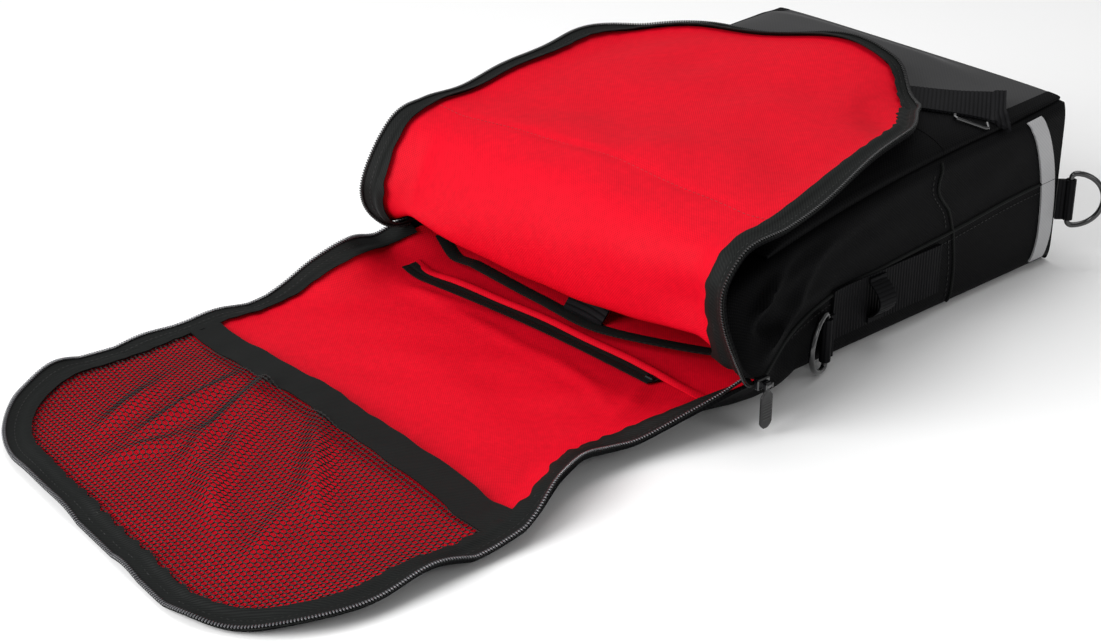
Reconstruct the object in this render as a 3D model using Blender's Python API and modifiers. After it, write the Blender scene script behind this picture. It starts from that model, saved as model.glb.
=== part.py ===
"""Clamshell cycling backpack, unzipped and lying on its back panel.

Metres, +Z up. The origin is on the centre line of the back panel's underside, level with
the two zip sliders at the mouth. +Y points to the closed base, -Y to the opened back flap
and +X to the near side. Two cloth half shells meet on a seam half way up the sides. Past
the sliders they part: the back flap lies on the floor and the front flap rolls back over
the body. Every cloth piece is laid out flat, across and along its half shell, and is then
folded with it.
"""

import math
from typing import NamedTuple

import bmesh
import bpy
import numpy as np
from mathutils import Matrix, Vector

# Body
BODY_HALF_WIDTH = 0.155
BODY_DEPTH = 0.140
BODY_LENGTH = 0.374
SHELL_WALL = 0.0024
BASE_BEVEL = 0.0011
BACK_BEND = 0.012
FRONT_BEND = 0.007

# Flaps
FLAP_LENGTH = 0.420
FLAP_GUSSET = 0.043
FLAP_CORNER = 0.098

# Cloth layers and gaps
LINING_WALL = 0.0010
TAPE_WALL = 0.0010
CHAIN_WALL = 0.0016
CLOTH_WALL = 0.0012
CLEARANCE = 0.0003
LINING_EASE = 0.0009
FRONT_TAPE_EASE = 0.0019
BACK_TAPE_EASE = 0.0008
CHAIN_EASE = 0.0007
SEAM_GAP = 0.0012
SEAM_TRIM = 0.0010
SEAM_INSET = 0.005

# Zip
TAPE_WIDTH = 0.026
TAPE_OVERHANG = 0.003
TAPE_EDGE_LIFT = 0.0012
TAPE_FROM_SLIDER = 0.031
CHAIN_WIDTH = 0.0045
SLIDER_LENGTH = 0.012
SLIDER_PAST_MOUTH = 0.006
SLIDER_WIDTH = 0.008
SLIDER_THICKNESS = 0.0052
EAR_WALL = 0.0012
EAR_HEIGHT = 0.0036
PIN_RADIUS = 0.0011
BARREL_WALL = 0.0010
PULL_LENGTH = 0.033
PULL_WIDTH = 0.011
PULL_THICKNESS = 0.0022
PULL_NECK = 0.0045
BARREL_WIDTH = 0.0045

# Pockets inside
MESH_LENGTH = 0.185
MESH_RISE = 0.010
BAND_WIDTH = 0.027
POCKET_ZIP_WIDTH = 0.014
POCKET_ZIP_LENGTH = 0.270
POCKET_ZIP_PAST_MOUTH = 0.009
POCKET_ZIP_SHIFT = 0.031
POCKET_SLIDER_LENGTH = 0.008
POCKET_SLIDER_WIDTH = 0.005
POCKET_SLIDER_HEIGHT = 0.0025
SLEEVE_RISE = 0.009
SLEEVE_REACH = 0.354
SLEEVE_SKEW = 0.014
SLEEVE_GUSSET = 0.028
SLEEVE_BINDING_WIDTH = 0.011
SLEEVE_STRAP_WIDTH = 0.043
SLEEVE_STRAP_LENGTH = 0.110

# Front pocket and its tarpaulin panel
PANEL_LENGTH = 0.142
POCKET_END = 0.335
POCKET_PUFF = 0.022
POCKET_WALL = 0.0020
POCKET_INSET = 0.004
POCKET_LIFT = 0.0004

# Webbing, rings and trim
WEBBING_WIDTH = 0.040
WEBBING_WALL = 0.0018
WEBBING_FROM = 0.145
WEBBING_TO = 0.268
WEBBING_ABOVE_FLOOR = 0.017
LOOP_WIDTH = 0.018
LOOP_WALL = 0.0016
LOOP_RISE = 0.011
LOOP_AT = 0.2195
LOOP_FOOT = 0.004
RING_WIRE = 0.0045
RING_INSIDE = 0.040
RING_DEPTH = 0.027
RING_CORNER = 0.004
RING_SWING = 20.0
MOUTH_RING_HEIGHT = 0.0255
BASE_RING_HEIGHT = 0.0545
TAB_WIDTH = 0.034
TAB_WALL = 0.0016
TAB_PLAY = 0.0004
TAB_TAIL = 0.006
STRAP_WIDTH = 0.040
STRAP_LENGTH = 0.098
STRAP_WALL = 0.0018
STRAP_HEADING = 37.0
STRAP_FROM_SIDE = 0.0227
STRAP_FROM_BASE = 0.046
STRAP_TIP_LIFT = 0.0085
STRAP_EDGE_LIFT = 0.0028
STRAP_REST_LIFT = 0.0008
HOOK_WIRE = 0.0026
HOOK_DEPTH = 0.0065
HOOK_FROM_TIP = 0.014
HOOK_WIDTH = 0.024
REFLECTOR_WIDTH = 0.020
REFLECTOR_FROM_BASE = 0.0112
REFLECTOR_TOP_BOW = 0.027
REFLECTOR_FOOT_BOW = 0.007
REFLECTOR_WALL = 0.0008

class BodyRow(NamedTuple):
    """One section of the closed body, with lengths as shares of its named sizes."""

    along: float         # share of BODY_LENGTH, from the base
    front_height: float  # share of BODY_DEPTH, height of the front's corners
    front_belly: float   # share of BODY_DEPTH, how far the front sags at its middle
    seam_height: float   # share of BODY_DEPTH, height of the side seam
    seam_spread: float   # share of BODY_HALF_WIDTH, how far out the side seam lies


BODY_ROWS = (
    BodyRow(0.00, 0.985, 0.000, 0.535, 1.000),
    BodyRow(0.15, 0.950, 0.000, 0.520, 1.000),
    BodyRow(0.35, 0.920, 0.000, 0.470, 1.000),
    BodyRow(0.55, 0.870, 0.000, 0.430, 1.000),
    BodyRow(0.72, 0.805, 0.010, 0.400, 1.010),
    BodyRow(0.86, 0.735, 0.060, 0.345, 1.080),
    BodyRow(1.00, 0.640, 0.120, 0.280, 1.225),
)


class FoldRow(NamedTuple):
    """One section of the front flap, which rolls back over the body."""

    along: float      # share of BODY_LENGTH, from the base
    height: float     # share of BODY_DEPTH
    belly: float      # share of BODY_DEPTH, how far the middle bows to the lining's side
    shift: float      # share of BODY_HALF_WIDTH, of the middle to the near side
    gusset: float     # share of FLAP_GUSSET
    skew: float       # degrees, turn about the vertical
    tilt: float       # degrees, rise of the near side
    near_turn: float  # degrees, curl of the near edge to the lining's side
    far_turn: float   # degrees, curl of the far edge to the lining's side


FOLD_ROWS = (
    FoldRow(1.080, 0.465, 0.090, 0.000, 1.00, 2.0, 1.2, 27.0, 27.0),
    FoldRow(1.078, 0.607, 0.080, 0.000, 1.00, 1.7, 3.0, 26.0, 26.0),
    FoldRow(1.070, 0.743, 0.070, 0.000, 1.00, 0.0, 3.4, 24.0, 24.0),
    FoldRow(1.046, 0.857, 0.050, 0.000, 1.00, -1.0, 3.0, 18.0, 18.0),
    FoldRow(0.968, 0.955, 0.035, 0.000, 1.00, 0.0, 2.8, 8.0, 5.0),
    FoldRow(0.796, 1.010, 0.030, -0.020, 0.94, 2.5, 4.0, 14.0, 7.0),
    FoldRow(0.597, 1.055, 0.030, -0.070, 0.81, 3.5, 3.0, 25.0, 10.0),
    FoldRow(0.371, 1.080, 0.035, -0.175, 0.62, 4.0, 2.0, 30.0, 13.0),
    FoldRow(0.160, 1.085, 0.035, -0.262, 0.47, 3.0, 1.5, 22.0, 14.0),
    FoldRow(-0.050, 1.085, 0.035, -0.315, 0.43, 3.0, 1.0, 20.0, 14.0),
)


class BackRow(NamedTuple):
    """One section of the back flap, which lies on the floor."""

    along: float      # share of FLAP_LENGTH, from the sliders
    gusset: float     # share of FLAP_GUSSET
    skew: float       # degrees, turn about the vertical
    near_turn: float  # degrees, how steeply the near edge rises
    far_turn: float   # degrees, how steeply the far edge rises


BACK_ROWS = (
    BackRow(0.080, 1.22, 0.0, 41.0, 25.0),
    BackRow(0.180, 1.14, 0.0, 43.0, 38.0),
    BackRow(0.235, 1.10, 0.0, 43.0, 26.0),
    BackRow(0.290, 1.05, 0.0, 45.0, 10.0),
    BackRow(0.360, 1.02, -0.3, 43.0, 3.5),
    BackRow(0.420, 1.00, -0.7, 32.0, 2.5),
    BackRow(0.485, 1.00, -1.2, 17.0, 2.5),
    BackRow(0.560, 1.00, -1.8, 8.0, 3.0),
    BackRow(0.700, 1.00, -2.8, 9.0, 6.0),
    BackRow(0.860, 1.00, -3.6, 8.0, 12.0),
    BackRow(1.020, 1.00, -4.2, 12.0, 14.0),
)


class PuffRow(NamedTuple):
    """How far the front pocket stands out at one place along the body."""

    along: float  # share of POCKET_END, from the base
    rise: float   # share of POCKET_PUFF


PUFF_ROWS = (
    PuffRow(0.00, 0.10),
    PuffRow(0.08, 0.22),
    PuffRow(0.25, 0.48),
    PuffRow(0.45, 0.82),
    PuffRow(0.65, 1.00),
    PuffRow(0.85, 0.92),
    PuffRow(0.95, 0.62),
    PuffRow(1.00, 0.00),
)

BODY_STATIONS = (0.0, 0.22, 0.42, 0.58, 0.70, 0.80, 0.88, 0.94, 1.0)
FRONT_STEPS = 15
BACK_STEPS = 8
CORNER_STEPS = 5
END_STEPS = 6
TURN_LENGTH = 0.10

ALONG_Z = np.array([0.0, 0.0, 1.0])

MATERIALS = {
    "black_nylon": ((0.010, 0.010, 0.011), 0.75, 0.0),
    "red_polyester": ((0.72, 0.010, 0.030), 0.70, 0.0),
    "black_tape": ((0.018, 0.020, 0.020), 0.80, 0.0),
    "zip_coil": ((0.030, 0.030, 0.032), 0.30, 0.0),
    "black_mesh": ((0.020, 0.012, 0.013), 0.80, 0.0),
    "black_webbing": ((0.014, 0.014, 0.015), 0.65, 0.0),
    "grey_tarpaulin": ((0.060, 0.060, 0.060), 0.45, 0.0),
    "reflective_tape": ((0.330, 0.330, 0.330), 0.35, 0.0),
    "black_enamel": ((0.012, 0.012, 0.013), 0.18, 0.6),
    "steel": ((0.520, 0.520, 0.540), 0.25, 1.0),
}


def smooth(knots, values, at):
    """Reads a smooth curve through a table's values, at one place or an array of places."""
    knots = np.asarray(knots, float)
    values = np.asarray(values, float)
    at = np.asarray(at, float)
    slopes = np.gradient(values, knots, axis=0)
    low = np.clip(np.searchsorted(knots, at) - 1, 0, len(knots) - 2)
    width = knots[low + 1] - knots[low]
    t = (at - knots[low]) / width
    if values.ndim == 2:
        t = t[..., None]
        width = width[..., None]
    start = (2 * t**3 - 3 * t**2 + 1) * values[low] + (t**3 - 2 * t**2 + t) * width * slopes[low]
    end = (3 * t**2 - 2 * t**3) * values[low + 1] + (t**3 - t**2) * width * slopes[low + 1]
    return start + end


def base_y():
    """The closed base's place along Y."""
    return BODY_LENGTH


class HalfShell:
    """A cloth half shell: its middle, corners and edges as rails along the cloth.

    Places on it are flat cloth coordinates: across from the middle, along from the base,
    and above the cloth on the lining's side.
    """

    def __init__(self, knots, middle, corners, edges, gussets, bend, lining_side):
        self.knots = knots
        self.middle = middle
        self.corners = corners
        self.edges = edges
        self.gussets = gussets
        self.bend = bend
        self.lining_side = lining_side
        self.half = BODY_HALF_WIDTH - SHELL_WALL
        self.mouth = BODY_LENGTH
        self.end = BODY_LENGTH + FLAP_LENGTH

    def edge_rail(self, side, along):
        """The cloth's edge: the shared side seam up to the mouth, and a free edge past it."""
        knots, points = self.edges[side]
        free = smooth(knots, points, np.maximum(along, knots[0]))
        seam = seam_point(side, along, self.lining_side)
        return np.where((along <= self.mouth)[..., None], seam, free)

    def full_half(self, along):
        """Half of the cloth's width before its end is rounded."""
        return self.half + smooth(self.knots, self.gussets, along)

    def half_width(self, along, inset=0.0):
        """Half of the cloth's width, less an inset from its rounded outline."""
        past = np.clip(along - (self.end - FLAP_CORNER), 0.0, FLAP_CORNER - inset)
        round_part = np.sqrt(np.maximum((FLAP_CORNER - inset) ** 2 - past**2, 0.0))
        return self.full_half(along) - FLAP_CORNER + round_part

    def surface(self, across, along):
        """Points of the folded cloth itself."""
        across, along = np.broadcast_arrays(np.asarray(across, float), np.asarray(along, float))
        middle = smooth(self.knots, self.middle, along)
        near = smooth(self.knots, self.corners[1], along)
        far = smooth(self.knots, self.corners[-1], along)
        side = np.where(across < 0, -1.0, 1.0)[..., None]
        corner = np.where(side > 0, near, far)
        edge = np.where(side > 0, self.edge_rail(1, along), self.edge_rail(-1, along))
        centre = (near + far) / 2

        def panel(share):
            bow = (1 - share**2) * (middle - centre)
            return centre + share * (corner - centre) + bow

        distance = np.abs(across)[..., None]
        flat = panel(distance / self.half)
        gusset = np.linalg.norm(edge - corner, axis=-1, keepdims=True)
        wall = corner + (edge - corner) * (distance - self.half) / np.maximum(gusset, 1e-6)
        start = panel(1 - self.bend / self.half)
        finish = corner + (edge - corner) * self.bend / np.maximum(gusset, 1e-6)
        t = np.clip((distance - self.half + self.bend) / (2 * self.bend), 0, 1)
        curve = (1 - t) ** 2 * start + 2 * t * (1 - t) * corner + t**2 * finish
        points = np.where(distance < self.half - self.bend, flat, curve)
        return np.where(distance > self.half + self.bend, wall, points)

    def normal(self, across, along):
        """Unit vectors out of the cloth on the lining's side."""
        step = 0.0005
        over = self.surface(across + step, along) - self.surface(across - step, along)
        low = np.where(np.abs(along - self.mouth) < step, along, along - step)
        down = self.surface(across, along + step) - self.surface(across, low)
        out = np.cross(down, over) * self.lining_side
        return out / np.linalg.norm(out, axis=-1, keepdims=True)

    def place(self, across, along, above=0.0):
        """Points at a height above the cloth, on the lining's side."""
        across, along, above = np.broadcast_arrays(
            np.asarray(across, float), np.asarray(along, float), np.asarray(above, float)
        )
        return self.surface(across, along) + self.normal(across, along) * above[..., None]


def seam_point(side, along, lining_side):
    """A point of the side seam, half a clearance to one half shell's own side of it."""
    knots = [row.along * BODY_LENGTH for row in BODY_ROWS]
    spread = smooth(knots, [row.seam_spread for row in BODY_ROWS], np.minimum(along, BODY_LENGTH))
    height = smooth(knots, [row.seam_height for row in BODY_ROWS], np.minimum(along, BODY_LENGTH))
    x = side * (spread * BODY_HALF_WIDTH - SHELL_WALL)
    z = height * BODY_DEPTH - lining_side * SEAM_GAP / 2
    return np.stack([x, base_y() - along, z], axis=-1)


def free_edge(corner, across_way, inward, turn, side, length):
    """The edge of a flap's side strip, curled from its corner to the lining's side."""
    angle = math.radians(turn)
    return corner + length * (side * math.cos(angle) * across_way + math.sin(angle) * inward)


def body_gusset(index, front):
    """Cloth length of a body section's side wall, from its corner to the side seam."""
    row = BODY_ROWS[index]
    along = np.array(row.along * BODY_LENGTH)
    seam = seam_point(1, along, -1 if front else 1)
    height = row.front_height * BODY_DEPTH - SHELL_WALL if front else SHELL_WALL
    corner = np.array([BODY_HALF_WIDTH - SHELL_WALL, float(seam[1]), height])
    return float(np.linalg.norm(seam - corner))


def back_half():
    """The half shell of the back panel and the flap that lies on the floor."""
    half = BODY_HALF_WIDTH - SHELL_WALL
    knots = [row.along * BODY_LENGTH for row in BODY_ROWS]
    gussets = [body_gusset(index, front=False) for index in range(len(BODY_ROWS))]
    knots += [BODY_LENGTH + row.along * FLAP_LENGTH for row in BACK_ROWS]
    gussets += [row.gusset * FLAP_GUSSET for row in BACK_ROWS]
    middle = np.array([(0.0, base_y() - along, SHELL_WALL) for along in knots])
    skews = np.radians([0.0] * len(BODY_ROWS) + [row.skew for row in BACK_ROWS])
    ways = np.stack([np.cos(skews), np.sin(skews), np.zeros_like(skews)], axis=-1)
    corners = {side: middle + side * half * ways for side in (1, -1)}
    edges = {}
    for side in (1, -1):
        points = [seam_point(side, np.array(BODY_LENGTH), 1)]
        for index, row in enumerate(BACK_ROWS, len(BODY_ROWS)):
            turn = row.near_turn if side == 1 else row.far_turn
            length = row.gusset * FLAP_GUSSET
            corner = corners[side][index]
            points.append(free_edge(corner, ways[index], ALONG_Z, turn, side, length))
        edges[side] = (np.array([BODY_LENGTH] + knots[len(BODY_ROWS):]), np.array(points))
    return HalfShell(knots, middle, corners, edges, gussets, BACK_BEND, 1)


def front_half():
    """The half shell of the front and the flap that rolls back over it."""
    half = BODY_HALF_WIDTH - SHELL_WALL
    spots = []
    for row in BODY_ROWS:
        height = row.front_height * BODY_DEPTH - SHELL_WALL
        spots.append(Vector((0.0, base_y() - row.along * BODY_LENGTH, height)))
    for row in FOLD_ROWS:
        shift = row.shift * BODY_HALF_WIDTH
        spots.append(Vector((shift, base_y() - row.along * BODY_LENGTH, row.height * BODY_DEPTH)))
    middle, edges = [], {1: [], -1: []}
    corners = {1: [], -1: []}
    for index, spot in enumerate(spots):
        body = index < len(BODY_ROWS)
        row = BODY_ROWS[index] if body else FOLD_ROWS[index - len(BODY_ROWS)]
        before = spots[max(index - 1, 0)]
        after = spots[min(index + 1, len(spots) - 1)]
        skew = 0.0 if body else math.radians(row.skew)
        tilt = 0.0 if body else math.radians(row.tilt)
        across = Vector((math.cos(skew) * math.cos(tilt), math.sin(skew), math.sin(tilt))).normalized()
        inward = across.cross((after - before).normalized()).normalized()
        belly = (row.front_belly if body else row.belly) * BODY_DEPTH
        middle.append(spot + belly * inward)
        for side in (1, -1):
            corner = spot + side * half * across
            corners[side].append(corner)
            if body:
                edges[side].append(Vector(seam_point(side, np.array(row.along * BODY_LENGTH), -1)))
                continue
            turn = row.near_turn if side == 1 else row.far_turn
            length = row.gusset * FLAP_GUSSET
            way = free_edge(np.zeros(3), np.array(across), np.array(inward), turn, side, length)
            edges[side].append(corner + Vector(way))
    knots = [row.along * BODY_LENGTH for row in BODY_ROWS]
    for index in range(len(BODY_ROWS), len(spots)):
        step = (spots[index] - spots[index - 1]).length
        edge_step = (edges[1][index] - edges[1][index - 1]).length
        knots.append(knots[-1] + (step + edge_step) / 2)
    gussets = [body_gusset(index, front=True) for index in range(len(BODY_ROWS))]
    gussets += [row.gusset * FLAP_GUSSET for row in FOLD_ROWS]
    start = len(BODY_ROWS) - 1
    rails = {side: (np.array(knots[start:]), np.array(edges[side][start:])) for side in (1, -1)}
    sides = {side: np.array(corners[side]) for side in (1, -1)}
    return HalfShell(knots, np.array(middle), sides, rails, gussets, FRONT_BEND, -1)


def material(name):
    """A Principled material by its plain name."""
    if name in bpy.data.materials:
        return bpy.data.materials[name]
    colour, roughness, metallic = MATERIALS[name]
    made = bpy.data.materials.new(name)
    made.use_nodes = True
    shader = made.node_tree.nodes["Principled BSDF"]
    shader.inputs["Base Color"].default_value = (*colour, 1.0)
    shader.inputs["Roughness"].default_value = roughness
    shader.inputs["Metallic"].default_value = metallic
    made.diffuse_color = (*colour, 1.0)
    return made


def put(name, mesh, finish, collection):
    """A named object with its material, in the backpack's collection."""
    mesh.materials.clear()
    mesh.materials.append(material(finish))
    thing = bpy.data.objects.new(name, mesh)
    collection.objects.link(thing)
    return thing


def grid_mesh(name, points, flip=False):
    """A triangulated open grid through rows of points."""
    rows, columns = points.shape[:2]
    faces = []
    for i in range(rows - 1):
        for j in range(columns - 1):
            a = i * columns + j
            b = a + 1
            c = a + columns
            d = c + 1
            faces += [(a, c, d), (a, d, b)]
    if flip:
        faces = [face[::-1] for face in faces]
    mesh = bpy.data.meshes.new(name)
    mesh.from_pydata([tuple(p) for p in points.reshape(-1, 3)], [], faces)
    mesh.update()
    return mesh


def cloth(name, half, across, along, above, wall, finish, collection):
    """A cloth piece of one wall thickness, laid on a half shell and folded with it."""
    across, along, above = np.broadcast_arrays(across, along, above)
    points = half.place(across, along, above)
    way = np.cross(points[1, 0] - points[0, 0], points[0, 1] - points[0, 0])
    flip = bool(way @ half.normal(across[0, 0], along[0, 0]) < 0)
    piece = put(name, grid_mesh(name, points, flip), finish, collection)
    thicken = piece.modifiers.new("Wall", "SOLIDIFY")
    thicken.thickness = wall
    thicken.offset = 1.0
    return piece


def body_stations():
    """Places along the closed body, shared by both half shells."""
    return BODY_LENGTH * np.array(BODY_STATIONS)


def tape_start():
    """Where the zip's tapes begin, just past the sliders."""
    return BODY_LENGTH + TAPE_FROM_SLIDER


def side_stations(half):
    """Places along a flap's straight sides, from the mouth to its rounded corners."""
    first = tape_start()
    last = half.end - FLAP_CORNER
    steps = BACK_STEPS if half.lining_side > 0 else FRONT_STEPS
    run = np.linspace(first, last, 400)
    effort = np.zeros_like(run)
    for across in (0.0, half.half, float(half.full_half(first))):
        points = half.surface(across, run)
        ways = np.diff(points, axis=0)
        ways = ways / np.linalg.norm(ways, axis=-1, keepdims=True)
        bend = np.arccos(np.clip(np.sum(ways[1:] * ways[:-1], axis=-1), -1, 1))
        effort[1:-1] += np.cumsum(bend) / 3
        effort[-1] += np.sum(bend) / 3
    effort = effort + (run - first) / TURN_LENGTH
    rows = np.interp(np.linspace(0, effort[-1], steps + 1), effort, run)
    return np.concatenate([[BODY_LENGTH, BODY_LENGTH + TAPE_FROM_SLIDER / 2], rows])


def corner_stations(half, inset):
    """Places along the rounded end, down to an inset from it."""
    angles = np.linspace(0.0, math.pi / 2, CORNER_STEPS + 1)[1:]
    return np.minimum(half.end - FLAP_CORNER + FLAP_CORNER * np.sin(angles), half.end - inset)


def columns_at(half, along, inset):
    """Places across the cloth: the middle, the bends, the tape's edge and the outline."""
    bend = half.bend
    inner = [0.0, 0.5 * (half.half - bend), half.half - bend, half.half, half.half + bend]
    outer = np.maximum(half.full_half(along) - TAPE_WIDTH, half.half + bend + 0.001)
    side = np.stack([np.full_like(along, value) for value in inner] + [outer], axis=-1)
    room = half.half_width(along, inset)[:, None] * np.array([0.0, 0.40, 0.70, 0.79, 0.87, 0.94])
    side = np.minimum(side, np.maximum(room, 0.0))
    side = np.concatenate([side, half.half_width(along, inset)[:, None]], axis=1)
    return np.concatenate([-side[:, :0:-1], side], axis=1)


def whole_sheet(half, inset, seam_inset, base_inset):
    """Flat cloth coordinates of a whole half shell, less insets from its outline and its seams."""
    along = np.concatenate([body_stations(), side_stations(half)[1:], corner_stations(half, inset)])
    along[0] = base_inset
    insets = np.where(along > BODY_LENGTH, inset, seam_inset)
    across = columns_at(half, along, insets)
    return across, np.broadcast_to(along[:, None], across.shape)


def border(half, insets):
    """Flat cloth coordinates of a band round a flap, from slider to slider."""
    insets = np.asarray(insets, float)
    run = []
    for along in side_stations(half)[2:]:
        run.append((half.full_half(np.array(along)) - insets, np.full_like(insets, along)))
    for angle in np.linspace(0.0, math.pi / 2, CORNER_STEPS + 2)[1:]:
        along = half.end - FLAP_CORNER + (FLAP_CORNER - insets) * math.sin(angle)
        wide = half.full_half(along) - FLAP_CORNER
        run.append((wide + (FLAP_CORNER - insets) * math.cos(angle), along))
    across, along = run[-1]
    mirrored = [(-across_, along_) for across_, along_ in reversed(run)]
    run += [(across * share, along) for share in np.linspace(1, -1, END_STEPS + 1)[1:-1]]
    run += mirrored
    return np.array([item[0] for item in run]), np.array([item[1] for item in run])


def make_shells(back, front, collection):
    """The two black half shells and their red linings."""
    for label, half in (("back", back), ("front", front)):
        across, along = whole_sheet(half, 0.0, SEAM_TRIM, 0.0)
        cloth(f"{label}_shell", half, across, along, -SHELL_WALL, SHELL_WALL, "black_nylon", collection)
        across, along = whole_sheet(half, CHAIN_WIDTH - TAPE_OVERHANG, SEAM_INSET, SEAM_INSET)
        cloth(f"{label}_lining", half, across, along, LINING_EASE, LINING_WALL, "red_polyester", collection)


def make_base_panel(collection):
    """The closed base: a rounded plate over the ends of both half shells."""
    width = 2 * BODY_HALF_WIDTH
    height = BODY_ROWS[0].front_height * BODY_DEPTH
    centre = (0.0, base_y() + CLEARANCE + SHELL_WALL / 2, height / 2)
    panel = box("base_panel", (width, SHELL_WALL, height), centre, "black_nylon", collection)
    bevel(panel, BASE_BEVEL)


def make_zips(back, front, collection):
    """The zip's two tapes and two chains, parted from slider to slider."""
    inner = CHAIN_WIDTH - TAPE_OVERHANG
    for label, half, ease in (("back", back, BACK_TAPE_EASE), ("front", front, FRONT_TAPE_EASE)):
        lift = LINING_EASE + LINING_WALL + ease
        across, along = border(half, (TAPE_WIDTH, inner, -TAPE_OVERHANG))
        height = lift + np.array([[TAPE_EDGE_LIFT, 0.0, 0.0]])
        cloth(f"{label}_zip_tape", half, across, along, height, TAPE_WALL, "black_tape", collection)
        across, along = border(half, (inner, -TAPE_OVERHANG))
        height = lift + TAPE_WALL + CHAIN_EASE
        cloth(f"{label}_zip_chain", half, across, along, height, CHAIN_WALL, "zip_coil", collection)


def make_inner_pockets(back, collection):
    """The net pocket at the flap's end, its top band and the zip pocket before the mouth."""
    lift = LINING_EASE + LINING_WALL + CLEARANCE
    inset = TAPE_WIDTH + LINING_EASE
    mouth = back.end - MESH_LENGTH

    def arch(across, along):
        wide = back.half_width(along, inset)
        over = 1 - np.clip(np.abs(across) / wide, 0, 1) ** 2
        left = np.clip((back.end - inset - along) / (MESH_LENGTH - inset), 0, 1)
        return lift + CLEARANCE + MESH_RISE * over * left

    along = np.concatenate([
        np.linspace(mouth, back.end - FLAP_CORNER, 5),
        corner_stations(back, inset),
    ])
    shares = np.linspace(-1, 1, 9)
    across = back.half_width(along, inset)[:, None] * shares[None, :]
    along = np.broadcast_to(along[:, None], across.shape)
    cloth("mesh_pocket", back, across, along, arch(across, along), TAPE_WALL, "black_mesh", collection)

    along = np.array([mouth - CLEARANCE - BAND_WIDTH, mouth - CLEARANCE])
    across = back.half_width(along, inset)[:, None] * shares[None, :]
    along = np.broadcast_to(along[:, None], across.shape)
    cloth("mesh_band", back, across, along, arch(across, along), CLOTH_WALL, "black_tape", collection)

    first = BODY_LENGTH + POCKET_ZIP_PAST_MOUTH
    along = np.array([first, first + POCKET_ZIP_WIDTH])
    run = np.linspace(-POCKET_ZIP_LENGTH / 2, POCKET_ZIP_LENGTH / 2, 5) - POCKET_ZIP_SHIFT
    across = run[None, :] + np.zeros((2, 1))
    along = np.broadcast_to(along[:, None], across.shape)
    cloth("pocket_zip", back, across, along, lift, TAPE_WALL, "black_tape", collection)

    seat = run[-1] - POCKET_SLIDER_LENGTH
    height = lift + TAPE_WALL + CLEARANCE + POCKET_SLIDER_HEIGHT / 2
    spot = back.place(seat, first + POCKET_ZIP_WIDTH / 2, height)
    size = (POCKET_SLIDER_LENGTH, POCKET_SLIDER_WIDTH, POCKET_SLIDER_HEIGHT)
    slider = box("pocket_zip_slider", size, spot, "black_enamel", collection)
    bevel(slider, POCKET_SLIDER_HEIGHT * 0.3)


def make_sleeve(back, collection):
    """The sleeve inside the mouth, its bound edge and the strap over it."""
    wide = back.half + SLEEVE_GUSSET
    lift = LINING_EASE + LINING_WALL + SEAM_GAP
    shares = np.array([-1, -0.93, -0.86, -0.78, -0.5, 0, 0.5, 0.78, 0.86, 0.93, 1.0])

    def edge_at(across):
        return SLEEVE_REACH - SLEEVE_SKEW * across / wide

    def rise(across):
        return lift + SLEEVE_RISE * np.clip((wide - np.abs(across)) / (2 * SLEEVE_GUSSET), 0, 1)

    across = wide * shares[None, :] + np.zeros((8, 1))
    start = back.bend * 2
    depth = np.linspace(0, 1, 8)[:, None]
    along = start + (edge_at(across) - start) * depth
    cloth("sleeve", back, across, along, rise(across), CLOTH_WALL, "red_polyester", collection)

    across = wide * shares[None, :] + np.zeros((2, 1))
    depth = np.array([[CLEARANCE], [CLEARANCE + SLEEVE_BINDING_WIDTH]])
    along = edge_at(across) + depth
    cloth("sleeve_binding", back, across, along, rise(across), CLOTH_WALL, "black_tape", collection)

    middle = -0.03
    reach = np.linspace(-SLEEVE_STRAP_LENGTH, 0.0, 4)[:, None]
    across = middle + np.array([[-0.5, 0.5]]) * SLEEVE_STRAP_WIDTH + np.zeros((4, 1))
    along = edge_at(across) + reach
    height = rise(across) + CLOTH_WALL + CLEARANCE
    cloth("sleeve_strap", back, across, along, height, WEBBING_WALL, "black_webbing", collection)


def pocket_puff(front, across, along):
    """How far the front pocket's inner side stands out from the front shell."""
    knots = [row.along * POCKET_END for row in PUFF_ROWS]
    rises = [row.rise * POCKET_PUFF for row in PUFF_ROWS]
    share = np.clip(np.abs(across) / (front.half - POCKET_INSET), 0, 1)
    return POCKET_LIFT + smooth(knots, rises, along) * np.sqrt(1 - share**4)


def make_front_pocket(front, collection):
    """The puffed front pocket: a grey tarpaulin panel at the base and black cloth past it."""
    wide = front.half - POCKET_INSET
    spread = np.sin(np.linspace(-math.pi / 2, math.pi / 2, 11))

    def tray(name, along, finish):
        across = wide * spread[None, :] + np.zeros((len(along), 1))
        long = np.broadcast_to(along[:, None], across.shape)
        above = -(SHELL_WALL + CLEARANCE + pocket_puff(front, across, long))
        points = front.place(across, long, above)
        piece = put(name, grid_mesh(name, points, flip=True), finish, collection)
        thicken = piece.modifiers.new("Wall", "SOLIDIFY")
        thicken.thickness = POCKET_WALL
        thicken.offset = -1.0
        thicken.use_even_offset = True

    split = PANEL_LENGTH
    tray("tarpaulin_panel", np.linspace(CLEARANCE, split, 6), "grey_tarpaulin")
    far = POCKET_END * np.array([0.72, 0.86, 0.94, 0.985])
    tray("front_pocket", np.concatenate([np.linspace(split + CLEARANCE, 0.6 * POCKET_END, 3), far]), "black_nylon")


def mirror_pair(maker, label, *details):
    """Makes a piece on the near side and its mirror image on the far side."""
    for side, word in ((1, "near"), (-1, "far")):
        maker(side, f"{label}_{word}", *details)


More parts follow.
